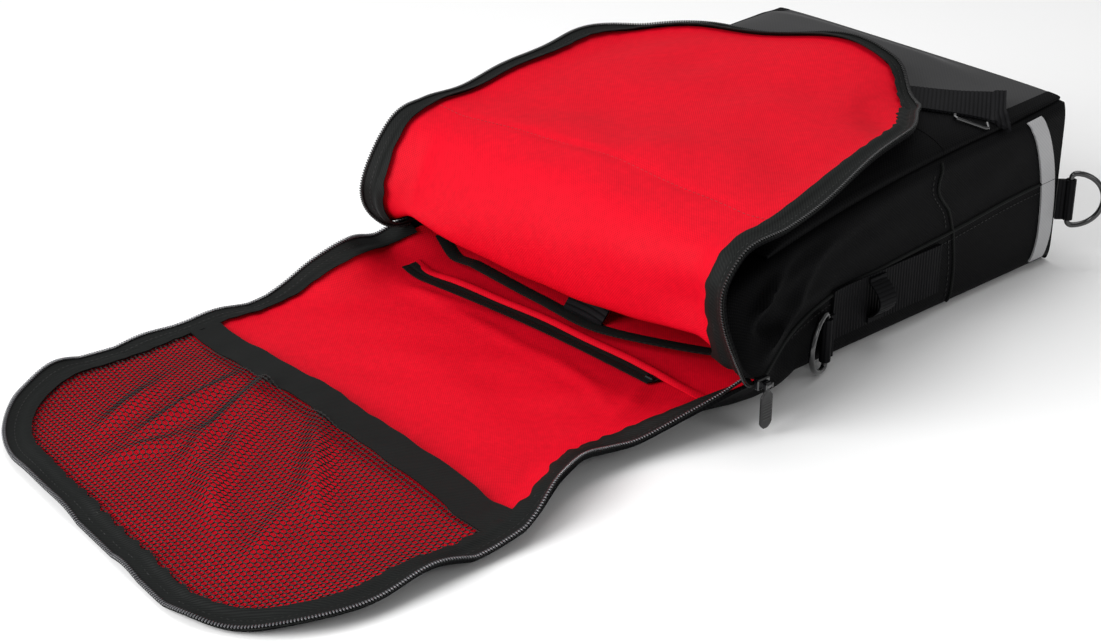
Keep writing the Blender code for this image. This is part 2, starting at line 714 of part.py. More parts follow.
def make_side_webbing(side, name, back, collection):
    """The ribbed tape sewn along the lower half of a side."""
    low = back.half + WEBBING_ABOVE_FLOOR
    inner = [place for place in body_stations() if WEBBING_FROM < place < WEBBING_TO]
    run = np.array([WEBBING_FROM, *inner, WEBBING_TO])
    across = side * np.array([[low, low + WEBBING_WIDTH * 0.5, low + WEBBING_WIDTH]])
    across = across + np.zeros((len(run), 1))
    along = run[:, None] + np.zeros((1, 3))
    height = -(SHELL_WALL + LINING_EASE + WEBBING_WALL)
    cloth(name, back, across, along, height, WEBBING_WALL, "black_webbing", collection)


def make_light_loop(side, name, back, collection):
    """The band over the side webbing that a lamp clips to, sewn down above and below."""
    low = back.half + WEBBING_ABOVE_FLOOR + LOOP_FOOT / 2
    high = back.half + WEBBING_ABOVE_FLOOR + WEBBING_WIDTH - LOOP_FOOT / 2
    bent = np.linspace(0.0, 1.0, 9)
    run = np.concatenate([[low], low + LOOP_FOOT + (high - low - 2 * LOOP_FOOT) * bent, [high]])
    rise = np.concatenate([[0.0], LOOP_RISE * np.sin(math.pi * bent) ** 0.8, [0.0]])
    across = side * run[:, None] + np.zeros((1, 3))
    along = LOOP_AT + LOOP_WIDTH * np.array([[-0.5, 0.0, 0.5]]) + np.zeros((len(run), 1))
    seat = SHELL_WALL + LINING_EASE + WEBBING_WALL + CLEARANCE + LOOP_WALL
    cloth(name, back, across, along, -(seat + rise[:, None]), LOOP_WALL, "black_webbing", collection)


def make_reflector(side, name, back, front, collection):
    """The curved strip down a side beside the base, over both half shells."""
    top = front.half + 2 * CLEARANCE
    foot = back.half + back.bend / 2
    upper = np.linspace(top, float(front.full_half(0.0)) - CLEARANCE, 6)
    lower = np.linspace(float(back.full_half(0.0)) - CLEARANCE, foot, 5)
    length = upper[-1] - upper[0] + lower[0] - lower[-1]
    climb = np.concatenate([length - (upper - top), lower - foot]) / length
    bow = REFLECTOR_TOP_BOW * np.clip((climb - 0.2) / 0.8, 0, 1) ** 2.5
    bow = bow + REFLECTOR_FOOT_BOW * np.clip(1 - climb / 0.2, 0, 1) ** 2
    width = REFLECTOR_WIDTH * np.array([[-0.5, 0.0, 0.5]])
    along = REFLECTOR_FROM_BASE + bow[:, None] + width
    above = -(SHELL_WALL + LINING_EASE + REFLECTOR_WALL)
    split = len(upper)
    over = front.place(side * upper[:, None], along[:split], above)
    under = back.place(side * lower[:, None], along[split:], above)
    points = np.concatenate([over, under])
    strip = put(name, grid_mesh(name, points, flip=side < 0), "reflective_tape", collection)
    thicken = strip.modifiers.new("Wall", "SOLIDIFY")
    thicken.thickness = REFLECTOR_WALL
    thicken.offset = -1.0
    thicken.use_even_offset = True


def spaced(half, bar_corner, depth):
    """A D ring's centre line: its bar on the local Z axis and its bow towards +X."""
    points = [(0.0, -half + bar_corner), (0.0, half - bar_corner)]
    quarter = math.sqrt(0.5) * bar_corner
    points.append((bar_corner - quarter, half - bar_corner + quarter))
    for angle in np.linspace(math.pi / 2, -math.pi / 2, 9):
        points.append((bar_corner + (depth - bar_corner) * math.cos(angle), half * math.sin(angle)))
    points.append((bar_corner - quarter, -half + bar_corner - quarter))
    return [(x, 0.0, z) for x, z in points]


def wire(name, points, radius, cyclic, finish, collection):
    """A round wire through a run of points."""
    data = bpy.data.curves.new(name, "CURVE")
    data.dimensions = "3D"
    data.bevel_depth = radius
    data.bevel_resolution = 2
    data.use_fill_caps = True
    spline = data.splines.new("POLY")
    spline.points.add(len(points) - 1)
    for spot, point in zip(spline.points, points):
        spot.co = (*point, 1.0)
    spline.use_cyclic_u = cyclic
    spline.use_smooth = True
    data.materials.append(material(finish))
    thing = bpy.data.objects.new(name, data)
    collection.objects.link(thing)
    return thing


def outline(name, loops, thickness, finish, collection):
    """A flat outline, with its holes, extruded along Z on both sides of it."""
    data = bpy.data.curves.new(name, "CURVE")
    data.dimensions = "2D"
    data.fill_mode = "BOTH"
    data.extrude = thickness / 2
    for loop in loops:
        spline = data.splines.new("POLY")
        spline.points.add(len(loop) - 1)
        for spot, point in zip(spline.points, loop):
            spot.co = (*point, 0.0, 1.0)
        spline.use_cyclic_u = True
    data.materials.append(material(finish))
    thing = bpy.data.objects.new(name, data)
    collection.objects.link(thing)
    return thing


def circle(radius, count):
    """Points round a circle about the origin."""
    turns = np.arange(count) * 2 * math.pi / count
    return [(radius * math.cos(turn), radius * math.sin(turn)) for turn in turns]


def tab_outline(low, tail):
    """The section of webbing folded round a ring's bar, its tail towards -X from a height."""
    hole = RING_WIRE / 2 + TAB_PLAY
    radius = hole + TAB_WALL
    thick = 2 * TAB_WALL
    first = -math.pi + math.asin(-low / radius)
    last = math.pi - math.asin((low + thick) / radius)
    loop = [(-radius - tail, low)]
    loop += [(radius * math.cos(a), radius * math.sin(a)) for a in np.linspace(first, last, 14)]
    loop.append((-radius - tail, low + thick))
    return [loop, circle(hole, 12)]


def make_ring(side, where, place, ring_heading, tab_heading, low, collection):
    """One D ring and the webbing tab that holds its bar."""
    word = "near" if side > 0 else "far"
    points = spaced(RING_INSIDE / 2 + RING_WIRE / 2, RING_CORNER, RING_DEPTH)
    ring = wire(f"d_ring_{where}_{word}", points, RING_WIRE / 2, True, "black_enamel", collection)
    ring.location = place
    ring.rotation_euler = (0.0, 0.0, math.radians(ring_heading))
    loops = tab_outline(low, TAB_TAIL)
    tab = outline(f"ring_tab_{where}_{word}", loops, TAB_WIDTH, "black_webbing", collection)
    tab.location = place
    tab.rotation_euler = (0.0, 0.0, math.radians(tab_heading))


def make_mouth_ring(side, back, collection):
    """The D ring at the mouth end of a side's webbing."""
    radius = RING_WIRE / 2 + TAB_PLAY + TAB_WALL
    along = WEBBING_TO + CLEARANCE + TAB_TAIL + radius
    top = MOUTH_RING_HEIGHT + TAB_WIDTH / 2 - SHELL_WALL
    wall = back.place(side * (back.half + top), along, -SHELL_WALL)
    place = (float(wall[0]) + side * (radius + LINING_EASE + CLEARANCE), float(wall[1]), MOUTH_RING_HEIGHT)
    heading = -90.0 + side * RING_SWING
    low = -radius if side > 0 else radius - 2 * TAB_WALL
    make_ring(side, "mouth", place, heading, -90.0, low, collection)


def make_base_ring(side, collection):
    """The D ring that comes out of a corner of the base."""
    radius = RING_WIRE / 2 + TAB_PLAY + TAB_WALL
    corner = Vector((side * BODY_HALF_WIDTH, base_y() + CLEARANCE + SHELL_WALL, BASE_RING_HEIGHT))
    out = Vector((side, 1.0, 0.0)).normalized()
    chamfer = BASE_BEVEL * math.sqrt(0.5)
    place = corner + out * (CLEARANCE - chamfer + TAB_TAIL + radius)
    heading = 90.0 - side * 45.0
    make_ring(side, "base", place, heading, heading, -TAB_WALL, collection)


def strap_place(front, share, across_share, lift):
    """Flat cloth coordinates of the front strap, and its height over the front pocket."""
    heading = math.radians(STRAP_HEADING)
    back_from_tip = STRAP_LENGTH * (1 - share)
    over = STRAP_WIDTH * across_share
    across = BODY_HALF_WIDTH - STRAP_FROM_SIDE - back_from_tip * math.cos(heading)
    across = across + over * math.sin(heading)
    along = STRAP_FROM_BASE + back_from_tip * math.sin(heading) + over * math.cos(heading)
    pocket = SHELL_WALL + CLEARANCE + POCKET_WALL + pocket_puff(front, across, along)
    return across, along, -(pocket + CLEARANCE + lift)


def make_front_strap(front, collection):
    """The webbing strap over the panel's near corner, and the steel hook at its edge."""
    share = np.linspace(0.0, 1.0, 9)[:, None]
    over = np.linspace(0.0, 1.0, 4)[None, :]
    upper = STRAP_REST_LIFT + (STRAP_TIP_LIFT - STRAP_REST_LIFT) * share**1.5
    lower = STRAP_REST_LIFT + (STRAP_EDGE_LIFT - STRAP_REST_LIFT) * share
    lift = STRAP_WALL + upper + (lower - upper) * over
    across, along, above = strap_place(front, share, over, lift)
    cloth("front_strap", front, across, along, above, STRAP_WALL, "black_webbing", collection)

    tip = 1 - HOOK_FROM_TIP / STRAP_LENGTH
    root = tip - HOOK_WIDTH / STRAP_LENGTH
    near = 1 + 3 * CLEARANCE / STRAP_WIDTH
    deep = 1 + (CLEARANCE + HOOK_DEPTH) / STRAP_WIDTH
    turn = (deep - near) * 0.35
    shares = [root, root, root + 0.02, tip - 0.02, tip, tip]
    overs = [near, deep - turn, deep, deep, deep - turn, near]
    lift = HOOK_WIRE / 2 + SEAM_GAP
    across, along, above = strap_place(front, np.array(shares), np.array(overs), lift)
    points = front.place(across, along, above)
    wire("strap_hook", points, HOOK_WIRE / 2, False, "steel", collection)


def box(name, size, centre, finish, collection):
    """A plain box, sized in its mesh and placed by its location."""
    bpy.ops.mesh.primitive_cube_add(size=1.0)
    cube = bpy.context.object
    mesh = cube.data
    mesh.transform(Matrix.Diagonal((*size, 1.0)))
    bpy.data.objects.remove(cube)
    cube = put(name, mesh, finish, collection)
    cube.location = centre
    return cube


def rod(name, radius, length, finish, collection):
    """A round rod along Y about the origin."""
    bpy.ops.mesh.primitive_cylinder_add(vertices=16, radius=radius, depth=length)
    cylinder = bpy.context.object
    mesh = cylinder.data
    mesh.transform(Matrix.Rotation(math.pi / 2, 4, "X"))
    bpy.data.objects.remove(cylinder)
    mesh.shade_smooth()
    mesh.set_sharp_from_angle(angle=math.radians(40))
    return put(name, mesh, finish, collection)


def bevel(thing, width):
    """Small chamfers on a box's edges."""
    edge = thing.modifiers.new("Edges", "BEVEL")
    edge.width = width
    edge.segments = 1


def combine(thing, other, operation):
    """Adds another shape to a piece, or cuts it out, and hides that shape."""
    other.hide_render = True
    other.display_type = "WIRE"
    step = thing.modifiers.new(other.name, "BOOLEAN")
    step.object = other
    step.operation = operation


def as_mesh(thing, collection):
    """Turns a curve piece into a mesh piece with its caps welded."""
    bpy.context.view_layer.update()
    graph = bpy.context.evaluated_depsgraph_get()
    mesh = bpy.data.meshes.new_from_object(thing.evaluated_get(graph))
    work = bmesh.new()
    work.from_mesh(mesh)
    bmesh.ops.remove_doubles(work, verts=work.verts, dist=0.00001)
    work.to_mesh(mesh)
    work.free()
    name = thing.name
    matrix = thing.matrix_world.copy()
    bpy.data.objects.remove(thing)
    solid = bpy.data.objects.new(name, mesh)
    solid.matrix_world = matrix
    collection.objects.link(solid)
    return solid


def make_slider(side, name, collection, cutters):
    """A zip slider at the mouth, with the ears and pin that hold its pull."""
    seam = seam_point(side, np.array(BODY_LENGTH), 0)
    barrel = PIN_RADIUS + CLEARANCE + BARREL_WALL
    out = side * (SHELL_WALL + LINING_EASE + 2 * CLEARANCE + SLIDER_THICKNESS / 2)
    centre = Vector((float(seam[0]) + out, float(seam[1]) - SLIDER_PAST_MOUTH, float(seam[2])))
    size = (SLIDER_THICKNESS, SLIDER_LENGTH, SLIDER_WIDTH)
    slider = box(name, size, centre, "black_enamel", collection)
    bevel(slider, SLIDER_WIDTH * 0.1)
    pin_out = side * (SLIDER_THICKNESS / 2 + CLEARANCE + barrel)
    pin_place = centre + Vector((pin_out, 0.0, 0.0))
    ear_length = CLEARANCE + 2 * barrel + EAR_WALL / 2
    ear_out = side * (SLIDER_THICKNESS / 2 + ear_length / 2 - EAR_WALL / 2)
    ear_gap = BARREL_WIDTH / 2 + CLEARANCE + EAR_WALL / 2
    for way in (1, -1):
        place = centre + Vector((ear_out, way * ear_gap, 0.0))
        ear = box(f"{name}_ear_{way}", (ear_length, EAR_WALL, EAR_HEIGHT), place, "black_enamel", cutters)
        combine(slider, ear, "UNION")
    pin = rod(f"{name}_pin", PIN_RADIUS, 2 * ear_gap, "black_enamel", cutters)
    pin.location = pin_place
    combine(slider, pin, "UNION")
    return pin_place


def make_pull(name, pin_place, collection, cutters):
    """A long flat zip pull that hangs from its slider's pin."""
    barrel = PIN_RADIUS + CLEARANCE + BARREL_WALL
    narrow = BARREL_WIDTH * 0.46
    wide = PULL_WIDTH / 2
    right = [(narrow, 0.0), (narrow, -PULL_NECK), (wide, -PULL_NECK - wide + narrow)]
    right += [(wide, -PULL_LENGTH + wide), (wide * 0.8, -PULL_LENGTH + wide * 0.45)]
    right += [(wide * 0.35, -PULL_LENGTH)]
    loop = right + [(-x, y) for x, y in reversed(right)]
    plate = as_mesh(outline(name, [loop], PULL_THICKNESS, "black_enamel", collection), collection)
    plate.data.transform(Matrix.Rotation(math.pi / 2, 4, "X"))
    plate.data.transform(Matrix.Rotation(math.pi / 2, 4, "Z"))
    plate.location = pin_place
    body = rod(f"{name}_barrel", barrel, BARREL_WIDTH, "black_enamel", cutters)
    body.location = pin_place
    combine(plate, body, "UNION")
    bore = rod(f"{name}_bore", PIN_RADIUS + CLEARANCE, 2 * PULL_WIDTH, "black_enamel", cutters)
    bore.location = pin_place
    combine(plate, bore, "DIFFERENCE")


def make_zip_sliders(collection, cutters):
    """Both sliders, where the zip stops at the mouth's sides, and their pulls."""
    for side, word in ((1, "near"), (-1, "far")):
        pin_place = make_slider(side, f"zip_slider_{word}", collection, cutters)
        make_pull(f"zip_pull_{word}", pin_place, collection, cutters)


def main():
    """Builds the backpack in its own collection."""
    for thing in list(bpy.data.objects):
        bpy.data.objects.remove(thing, do_unlink=True)
    collection = bpy.data.collections.new("cycling_backpack")
    bpy.context.scene.collection.children.link(collection)
    cutters = bpy.data.collections.new("shapes_added_and_cut")
    bpy.context.scene.collection.children.link(cutters)
    back = back_half()
    front = front_half()
    make_shells(back, front, collection)
    make_base_panel(collection)
    make_zips(back, front, collection)
    make_zip_sliders(collection, cutters)
    make_inner_pockets(back, collection)
    make_sleeve(back, collection)
    make_front_pocket(front, collection)
    make_front_strap(front, collection)
    mirror_pair(make_side_webbing, "side_webbing", back, collection)
    mirror_pair(make_light_loop, "light_loop", back, collection)
    mirror_pair(make_reflector, "reflective_strip", back, front, collection)
    for side in (1, -1):
        make_mouth_ring(side, back, collection)
        make_base_ring(side, collection)


main()
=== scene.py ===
"""Cycling backpack, unzipped and lying open on its back panel, dressed over its fixed frame.

Metres, +Z up. The origin is on the centre line of the back panel's underside, level with
the two zip sliders. +Y points to the closed base and +X to the near side. Each cloth piece
is laid out flat, across and along one of the two half shells, and is folded with it.
"""

import logging
import math
from collections.abc import Callable, Sequence
from dataclasses import dataclass, field
from enum import Enum
from typing import NamedTuple

import bmesh
import bpy
import numpy as np
from mathutils import Matrix, Vector


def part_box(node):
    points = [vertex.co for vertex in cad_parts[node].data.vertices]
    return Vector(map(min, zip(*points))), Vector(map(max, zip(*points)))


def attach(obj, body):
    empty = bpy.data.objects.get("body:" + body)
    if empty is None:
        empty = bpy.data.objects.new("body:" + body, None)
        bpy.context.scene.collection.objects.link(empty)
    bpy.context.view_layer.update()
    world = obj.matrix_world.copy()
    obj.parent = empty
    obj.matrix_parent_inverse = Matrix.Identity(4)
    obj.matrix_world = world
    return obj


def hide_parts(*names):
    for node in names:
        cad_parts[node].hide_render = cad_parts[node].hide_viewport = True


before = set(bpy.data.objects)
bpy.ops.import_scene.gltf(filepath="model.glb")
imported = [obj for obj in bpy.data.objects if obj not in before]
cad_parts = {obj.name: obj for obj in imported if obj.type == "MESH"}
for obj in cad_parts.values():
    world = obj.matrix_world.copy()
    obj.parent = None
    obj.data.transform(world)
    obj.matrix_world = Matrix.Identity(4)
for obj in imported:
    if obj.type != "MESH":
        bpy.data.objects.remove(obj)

log = logging.getLogger("backpack")

# Sizes shared by several sub-assemblies, as on the frame
BODY_HALF_WIDTH = 0.155
BODY_DEPTH = 0.140
BODY_LENGTH = 0.374
FLAP_LENGTH = 0.420
FLAP_GUSSET = 0.043
FLAP_CORNER = 0.098
SHELL_WALL = 0.0024
PANEL_HALF = BODY_HALF_WIDTH - SHELL_WALL
LINING_EASE = 0.0009
LINING_WALL = 0.0010
TAPE_WIDTH = 0.026
TAPE_OVERHANG = 0.003
CHAIN_WIDTH = 0.0045
SEAM_GAP = 0.0012
CLEARANCE = 0.0003
WEBBING_WALL = 0.0018
WEBBING_WIDTH = 0.040
WEBBING_ABOVE_FLOOR = 0.017
WEBBING_END = 0.268
RIB_PITCH = 0.0032
RIB_HEIGHT = 0.0005

# How the drawn cloth is divided, and where its shared folds fade out
SHEET_ROWS = 86
SHEET_COLUMNS = 131
SEAM_INSET = 0.001
SEAM_FADE = 0.012
EDGE_BAND = 0.045

Number = np.ndarray | float
Reading = Callable[[np.ndarray, np.ndarray], np.ndarray]
Socket = bpy.types.NodeSocket

UP = np.array([0.0, 0.0, 1.0])


class BodyRow(NamedTuple):
    """One section of the closed body, as shares of its length, depth and half width."""

    along: float
    front_height: float
    front_belly: float
    seam_height: float
    seam_spread: float


BODY_ROWS = (
    BodyRow(0.00, 0.985, 0.000, 0.535, 1.000),
    BodyRow(0.15, 0.950, 0.000, 0.520, 1.000),
    BodyRow(0.35, 0.920, 0.000, 0.470, 1.000),
    BodyRow(0.55, 0.870, 0.000, 0.430, 1.000),
    BodyRow(0.72, 0.805, 0.010, 0.400, 1.010),
    BodyRow(0.86, 0.735, 0.060, 0.345, 1.080),
    BodyRow(1.00, 0.640, 0.120, 0.280, 1.225),
)


class FoldRow(NamedTuple):
    """One section of the front flap: shares of the body's sizes, and turns in degrees."""

    along: float
    height: float
    belly: float
    shift: float
    gusset: float
    skew: float
    tilt: float
    near_turn: float
    far_turn: float


FOLD_ROWS = (
    FoldRow(1.080, 0.465, 0.090, 0.000, 1.00, 2.0, 1.2, 27.0, 27.0),
    FoldRow(1.078, 0.607, 0.080, 0.000, 1.00, 1.7, 3.0, 26.0, 26.0),
    FoldRow(1.070, 0.743, 0.070, 0.000, 1.00, 0.0, 3.4, 24.0, 24.0),
    FoldRow(1.046, 0.857, 0.050, 0.000, 1.00, -1.0, 3.0, 18.0, 18.0),
    FoldRow(0.968, 0.955, 0.035, 0.000, 1.00, 0.0, 2.8, 8.0, 5.0),
    FoldRow(0.796, 1.010, 0.030, -0.020, 0.94, 2.5, 4.0, 14.0, 7.0),
    FoldRow(0.597, 1.055, 0.030, -0.070, 0.81, 3.5, 3.0, 25.0, 10.0),
    FoldRow(0.371, 1.080, 0.035, -0.175, 0.62, 4.0, 2.0, 30.0, 13.0),
    FoldRow(0.160, 1.085, 0.035, -0.262, 0.47, 3.0, 1.5, 22.0, 14.0),
    FoldRow(-0.050, 1.085, 0.035, -0.315, 0.43, 3.0, 1.0, 20.0, 14.0),
)


class BackRow(NamedTuple):
    """One section of the back flap: shares of the flap's sizes, and turns in degrees."""

    along: float
    gusset: float
    skew: float
    near_turn: float
    far_turn: float
    near_draw: float = 0.0


# The drawn cloth's near edge is let down flatter past the mouth than the frame's, and drawn in.
BACK_ROWS = (
    BackRow(0.080, 1.22, 0.0, 37.0, 25.0, 0.011),
    BackRow(0.180, 1.14, 0.0, 21.0, 38.0, 0.027),
    BackRow(0.235, 1.10, 0.0, 15.0, 26.0, 0.032),
    BackRow(0.290, 1.05, 0.0, 17.0, 10.0, 0.031),
    BackRow(0.360, 1.02, -0.3, 29.0, 3.5, 0.019),
    BackRow(0.420, 1.00, -0.7, 33.0, 2.5, 0.004),
    BackRow(0.485, 1.00, -1.2, 17.0, 2.5),
    BackRow(0.560, 1.00, -1.8, 8.0, 3.0),
    BackRow(0.700, 1.00, -2.8, 9.0, 6.0),
    BackRow(0.860, 1.00, -3.6, 8.0, 12.0),
    BackRow(1.020, 1.00, -4.2, 12.0, 14.0),
)


class PuffRow(NamedTuple):
    """How far the front pocket stands out at one share of its length."""

    along: float
    rise: float


PUFF_ROWS = (
    PuffRow(0.00, 0.10),
    PuffRow(0.08, 0.22),
    PuffRow(0.25, 0.48),
    PuffRow(0.45, 0.82),
    PuffRow(0.65, 1.00),
    PuffRow(0.85, 0.92),
    PuffRow(0.95, 0.62),
    PuffRow(1.00, 0.00),
)


class Side(Enum):
    """The backpack's two sides, along X."""

    NEAR = 1
    FAR = -1

    @property
    def word(self) -> str:
        """The side's name in plain lower case."""
        return self.name.lower()


def smooth(knots: Sequence[float], values: np.ndarray, at: np.ndarray) -> np.ndarray:
    """Reads a smooth curve through a table's values.

    Args:
        knots: Places of the table's values.
        values: The values, numbers or points.
        at: Places to read, in any array shape.

    Returns:
        The values there.
    """
    knots, values, at = (np.asarray(item, float) for item in (knots, values, at))
    slopes = np.gradient(values, knots, axis=0)
    low = np.clip(np.searchsorted(knots, at) - 1, 0, len(knots) - 2)
    width = knots[low + 1] - knots[low]
    t = (at - knots[low]) / width
    if values.ndim == 2:
        t, width = t[..., None], width[..., None]
    start = (2 * t**3 - 3 * t**2 + 1) * values[low] + (t**3 - 2 * t**2 + t) * width * slopes[low]
    end = (3 * t**2 - 2 * t**3) * values[low + 1] + (t**3 - t**2) * width * slopes[low + 1]
    return start + end


def through(points: Sequence[tuple[float, float]], at: np.ndarray) -> np.ndarray:
    """Reads a smooth curve through a table of places and values."""
    knots, values = zip(*points)
    return smooth(knots, np.array(values), at)


def ease_in(values: np.ndarray) -> np.ndarray:
    """A soft step: 0 up to 0, 1 from 1, smooth between."""
    share = np.clip(values, 0, 1)
    return share * share * (3 - 2 * share)


def ribs(run: np.ndarray) -> np.ndarray:
    """Height of webbing's cross ribs at lengths along it."""
    return RIB_HEIGHT * np.abs(np.sin(run * math.pi / RIB_PITCH))


def seam_point(side: int, along: np.ndarray, lining_side: int) -> np.ndarray:
    """A point of the side seam, half a gap to one half shell's own side of it.

    Args:
        side: 1 for the near side, or -1 for the far side.
        along: Places along the cloth. Past the mouth the point stays at the mouth.
        lining_side: 1 for the back half shell's edge, -1 for the front's, 0 for the middle.

    Returns:
        Points in space.
    """
    knots = [row.along * BODY_LENGTH for row in BODY_ROWS]
    along = np.minimum(along, BODY_LENGTH)
    spread = smooth(knots, np.array([row.seam_spread for row in BODY_ROWS]), along)
    height = smooth(knots, np.array([row.seam_height for row in BODY_ROWS]), along)
    x = side * (spread * BODY_HALF_WIDTH - SHELL_WALL)
    z = height * BODY_DEPTH - lining_side * SEAM_GAP / 2
    return np.stack([x, BODY_LENGTH - along, z], axis=-1)


def edge_way(across: np.ndarray, inward: np.ndarray, turn: float, side: int,
             length: float) -> np.ndarray:
    """The way from a flap's corner to its edge, curled to the lining's side.

    Args:
        across: The way across the cloth.
        inward: The way to the lining's side.
        turn: Degrees that the strip past the corner is turned by.
        side: 1 for the near side, or -1 for the far side.
        length: The strip's width.

    Returns:
        The shift from the corner to the edge.
    """
    angle = math.radians(turn)
    return length * (side * math.cos(angle) * across + math.sin(angle) * inward)


@dataclass
class Swell:
    """A smooth random swell over cloth, made of plane waves from one seed."""

    seed: int
    longest: float
    shortest: float
    height: float
    waves: int = 16

    def at(self, across: np.ndarray, along: np.ndarray) -> np.ndarray:
        """The swell's height at flat cloth coordinates.

        Args:
            across: Places across the cloth.
            along: Places along the cloth.

        Returns:
            Heights in metres.
        """
        chance = np.random.default_rng(self.seed)
        total = np.zeros(np.broadcast(across, along).shape)
        for _ in range(self.waves):
            length = math.exp(chance.uniform(math.log(self.shortest), math.log(self.longest)))
            angle, phase = chance.uniform(0, 2 * math.pi, 2)
            place = math.cos(angle) * across + math.sin(angle) * along
            total = total + np.cos(2 * math.pi * place / length + phase)
        return self.height * total / math.sqrt(self.waves)


class Crease(NamedTuple):
    """A long soft ridge in cloth, or a furrow if its height is below zero."""

    across: float
    along: float
    heading: float
    length: float
    width: float
    height: float


def creases(rows: Sequence[Crease], across: np.ndarray, along: np.ndarray) -> np.ndarray:
    """The summed height of creases at flat cloth coordinates.

    Args:
        rows: The creases. A heading of 0 degrees runs across the cloth and 90 along it.
        across: Places across the cloth.
        along: Places along the cloth.

    Returns:
        Heights in metres.
    """
    total = np.zeros(np.broadcast(across, along).shape)
    for row in rows:
        angle = math.radians(row.heading)
        off_a, off_l = across - row.across, along - row.along
        run = (off_a * math.cos(angle) + off_l * math.sin(angle)) / row.length
        over = (off_l * math.cos(angle) - off_a * math.sin(angle)) / row.width
        total = total + row.height * np.exp(-(run**2) - over**2)
    return total


class HalfShell:
    """A folded half shell of cloth: its middle, corners and edges are rails along it."""

    def __init__(self, knots: list[float], middle: np.ndarray, corners: dict, edges: dict,
                 gussets: list[float], bend: float, lining_side: int) -> None:
        """Keeps the rails.

        Args:
            knots: Places of the sections along the cloth, from the base.
            middle: Points of the middle line.
            corners: Points of each side's corner line.
            edges: Places and points of each side's free edge.
            gussets: Widths of the strips past the corners.
            bend: Half of the length that a corner is bent over.
            lining_side: 1 where the lining is above the cloth at the mouth, or -1.
        """
        self.knots, self.middle, self.corners, self.edges = knots, middle, corners, edges
        self.gussets, self.bend, self.lining_side = gussets, bend, lining_side
        self.half = PANEL_HALF
        self.mouth = BODY_LENGTH
        self.end = BODY_LENGTH + FLAP_LENGTH
        self.relief: Reading | None = None
        self.drape: Reading | None = None

    def edge_rail(self, side: int, along: np.ndarray) -> np.ndarray:
        """The cloth's edge: the side seam up to the mouth, and a free edge past it.

        Args:
            side: 1 for the near side, or -1 for the far side.
            along: Places along the cloth.

        Returns:
            Points of the edge.
        """
        knots, points = self.edges[side]
        free = smooth(knots, points, np.maximum(along, knots[0]))
        seam = seam_point(side, along, self.lining_side)
        return np.where((along <= self.mouth)[..., None], seam, free)

    def full_half(self, along: np.ndarray) -> np.ndarray:
        """Half of the cloth's width before its end is rounded."""
        return self.half + smooth(self.knots, np.array(self.gussets), along)

    def half_width(self, along: np.ndarray, inset: Number = 0.0) -> np.ndarray:
        """Half of the cloth's width, less an inset from its rounded outline.

        Args:
            along: Places along the cloth.
            inset: The inset, one for all or one for each place.

        Returns:
            Half widths.
        """
        past = np.clip(along - (self.end - FLAP_CORNER), 0.0, FLAP_CORNER - inset)
        round_part = np.sqrt(np.maximum((FLAP_CORNER - inset) ** 2 - past**2, 0.0))
        return self.full_half(along) - FLAP_CORNER + round_part

    def surface(self, across: np.ndarray, along: np.ndarray) -> np.ndarray:
        """Points of the folded cloth, without its relief: panel, bent corners and side walls.

        Args:
            across: Places across the cloth, from its middle line.
            along: Places along the cloth, from the base.

        Returns:
            Points in space.
        """
        across, along = np.broadcast_arrays(np.asarray(across, float), np.asarray(along, float))
        middle = smooth(self.knots, self.middle, along)
        near = smooth(self.knots, self.corners[1], along)
        far = smooth(self.knots, self.corners[-1], along)
        side = np.where(across < 0, -1.0, 1.0)[..., None]
        corner = np.where(side > 0, near, far)
        edge = np.where(side > 0, self.edge_rail(1, along), self.edge_rail(-1, along))
        centre = (near + far) / 2

        def panel(share: Number) -> np.ndarray:
            """Points of the wide panel between its corners."""
            return centre + share * (corner - centre) + (1 - share**2) * (middle - centre)

        distance = np.abs(across)[..., None]
        flat = panel(distance / self.half)
        gusset = np.maximum(np.linalg.norm(edge - corner, axis=-1, keepdims=True), 1e-6)
        wall = corner + (edge - corner) * (distance - self.half) / gusset
        start = panel(1 - self.bend / self.half)
        finish = corner + (edge - corner) * self.bend / gusset
        t = np.clip((distance - self.half + self.bend) / (2 * self.bend), 0, 1)
        curve = (1 - t) ** 2 * start + 2 * t * (1 - t) * corner + t**2 * finish
        points = np.where(distance < self.half - self.bend, flat, curve)
        return np.where(distance > self.half + self.bend, wall, points)

    def normal(self, across: np.ndarray, along: np.ndarray) -> np.ndarray:
        """Unit vectors out of the cloth on the lining's side.

        Args:
            across: Places across the cloth.
            along: Places along the cloth.

        Returns:
            The vectors. At the mouth they are read from the flap's side alone.
        """
        step = 0.0005
        over = self.surface(across + step, along) - self.surface(across - step, along)
        low = np.where(np.abs(along - self.mouth) < step, along, along - step)
        down = self.surface(across, along + step) - self.surface(across, low)
        out = np.cross(down, over) * self.lining_side
        return out / np.linalg.norm(out, axis=-1, keepdims=True)

    def place(self, across: Number, along: Number, above: Number = 0.0) -> np.ndarray:
        """Points at a height above the cloth, with the shared relief and drape.

        Args:
            across: Places across the cloth.
            along: Places along the cloth.
            above: Heights on the lining's side, below zero on the outer side.

        Returns:
            Points in space.
        """
        across, along, above = np.broadcast_arrays(
            np.asarray(across, float), np.asarray(along, float), np.asarray(above, float)
        )
        if self.relief is not None:
            above = above + self.relief(across, along)
        points = self.surface(across, along) + self.normal(across, along) * above[..., None]
        return points if self.drape is None else points + self.drape(across, along)


def body_gusset(index: int, front: bool) -> float:
    """Cloth length of a body section's side wall, from its corner to the side seam.

    Args:
        index: The section's row in BODY_ROWS.
        front: Whether the wall is the front half shell's.

    Returns:
        The length.
    """
    row = BODY_ROWS[index]
    seam = seam_point(1, np.array(row.along * BODY_LENGTH), -1 if front else 1)
    height = row.front_height * BODY_DEPTH - SHELL_WALL if front else SHELL_WALL
    corner = np.array([PANEL_HALF, float(seam[1]), height])
    return float(np.linalg.norm(seam - corner))


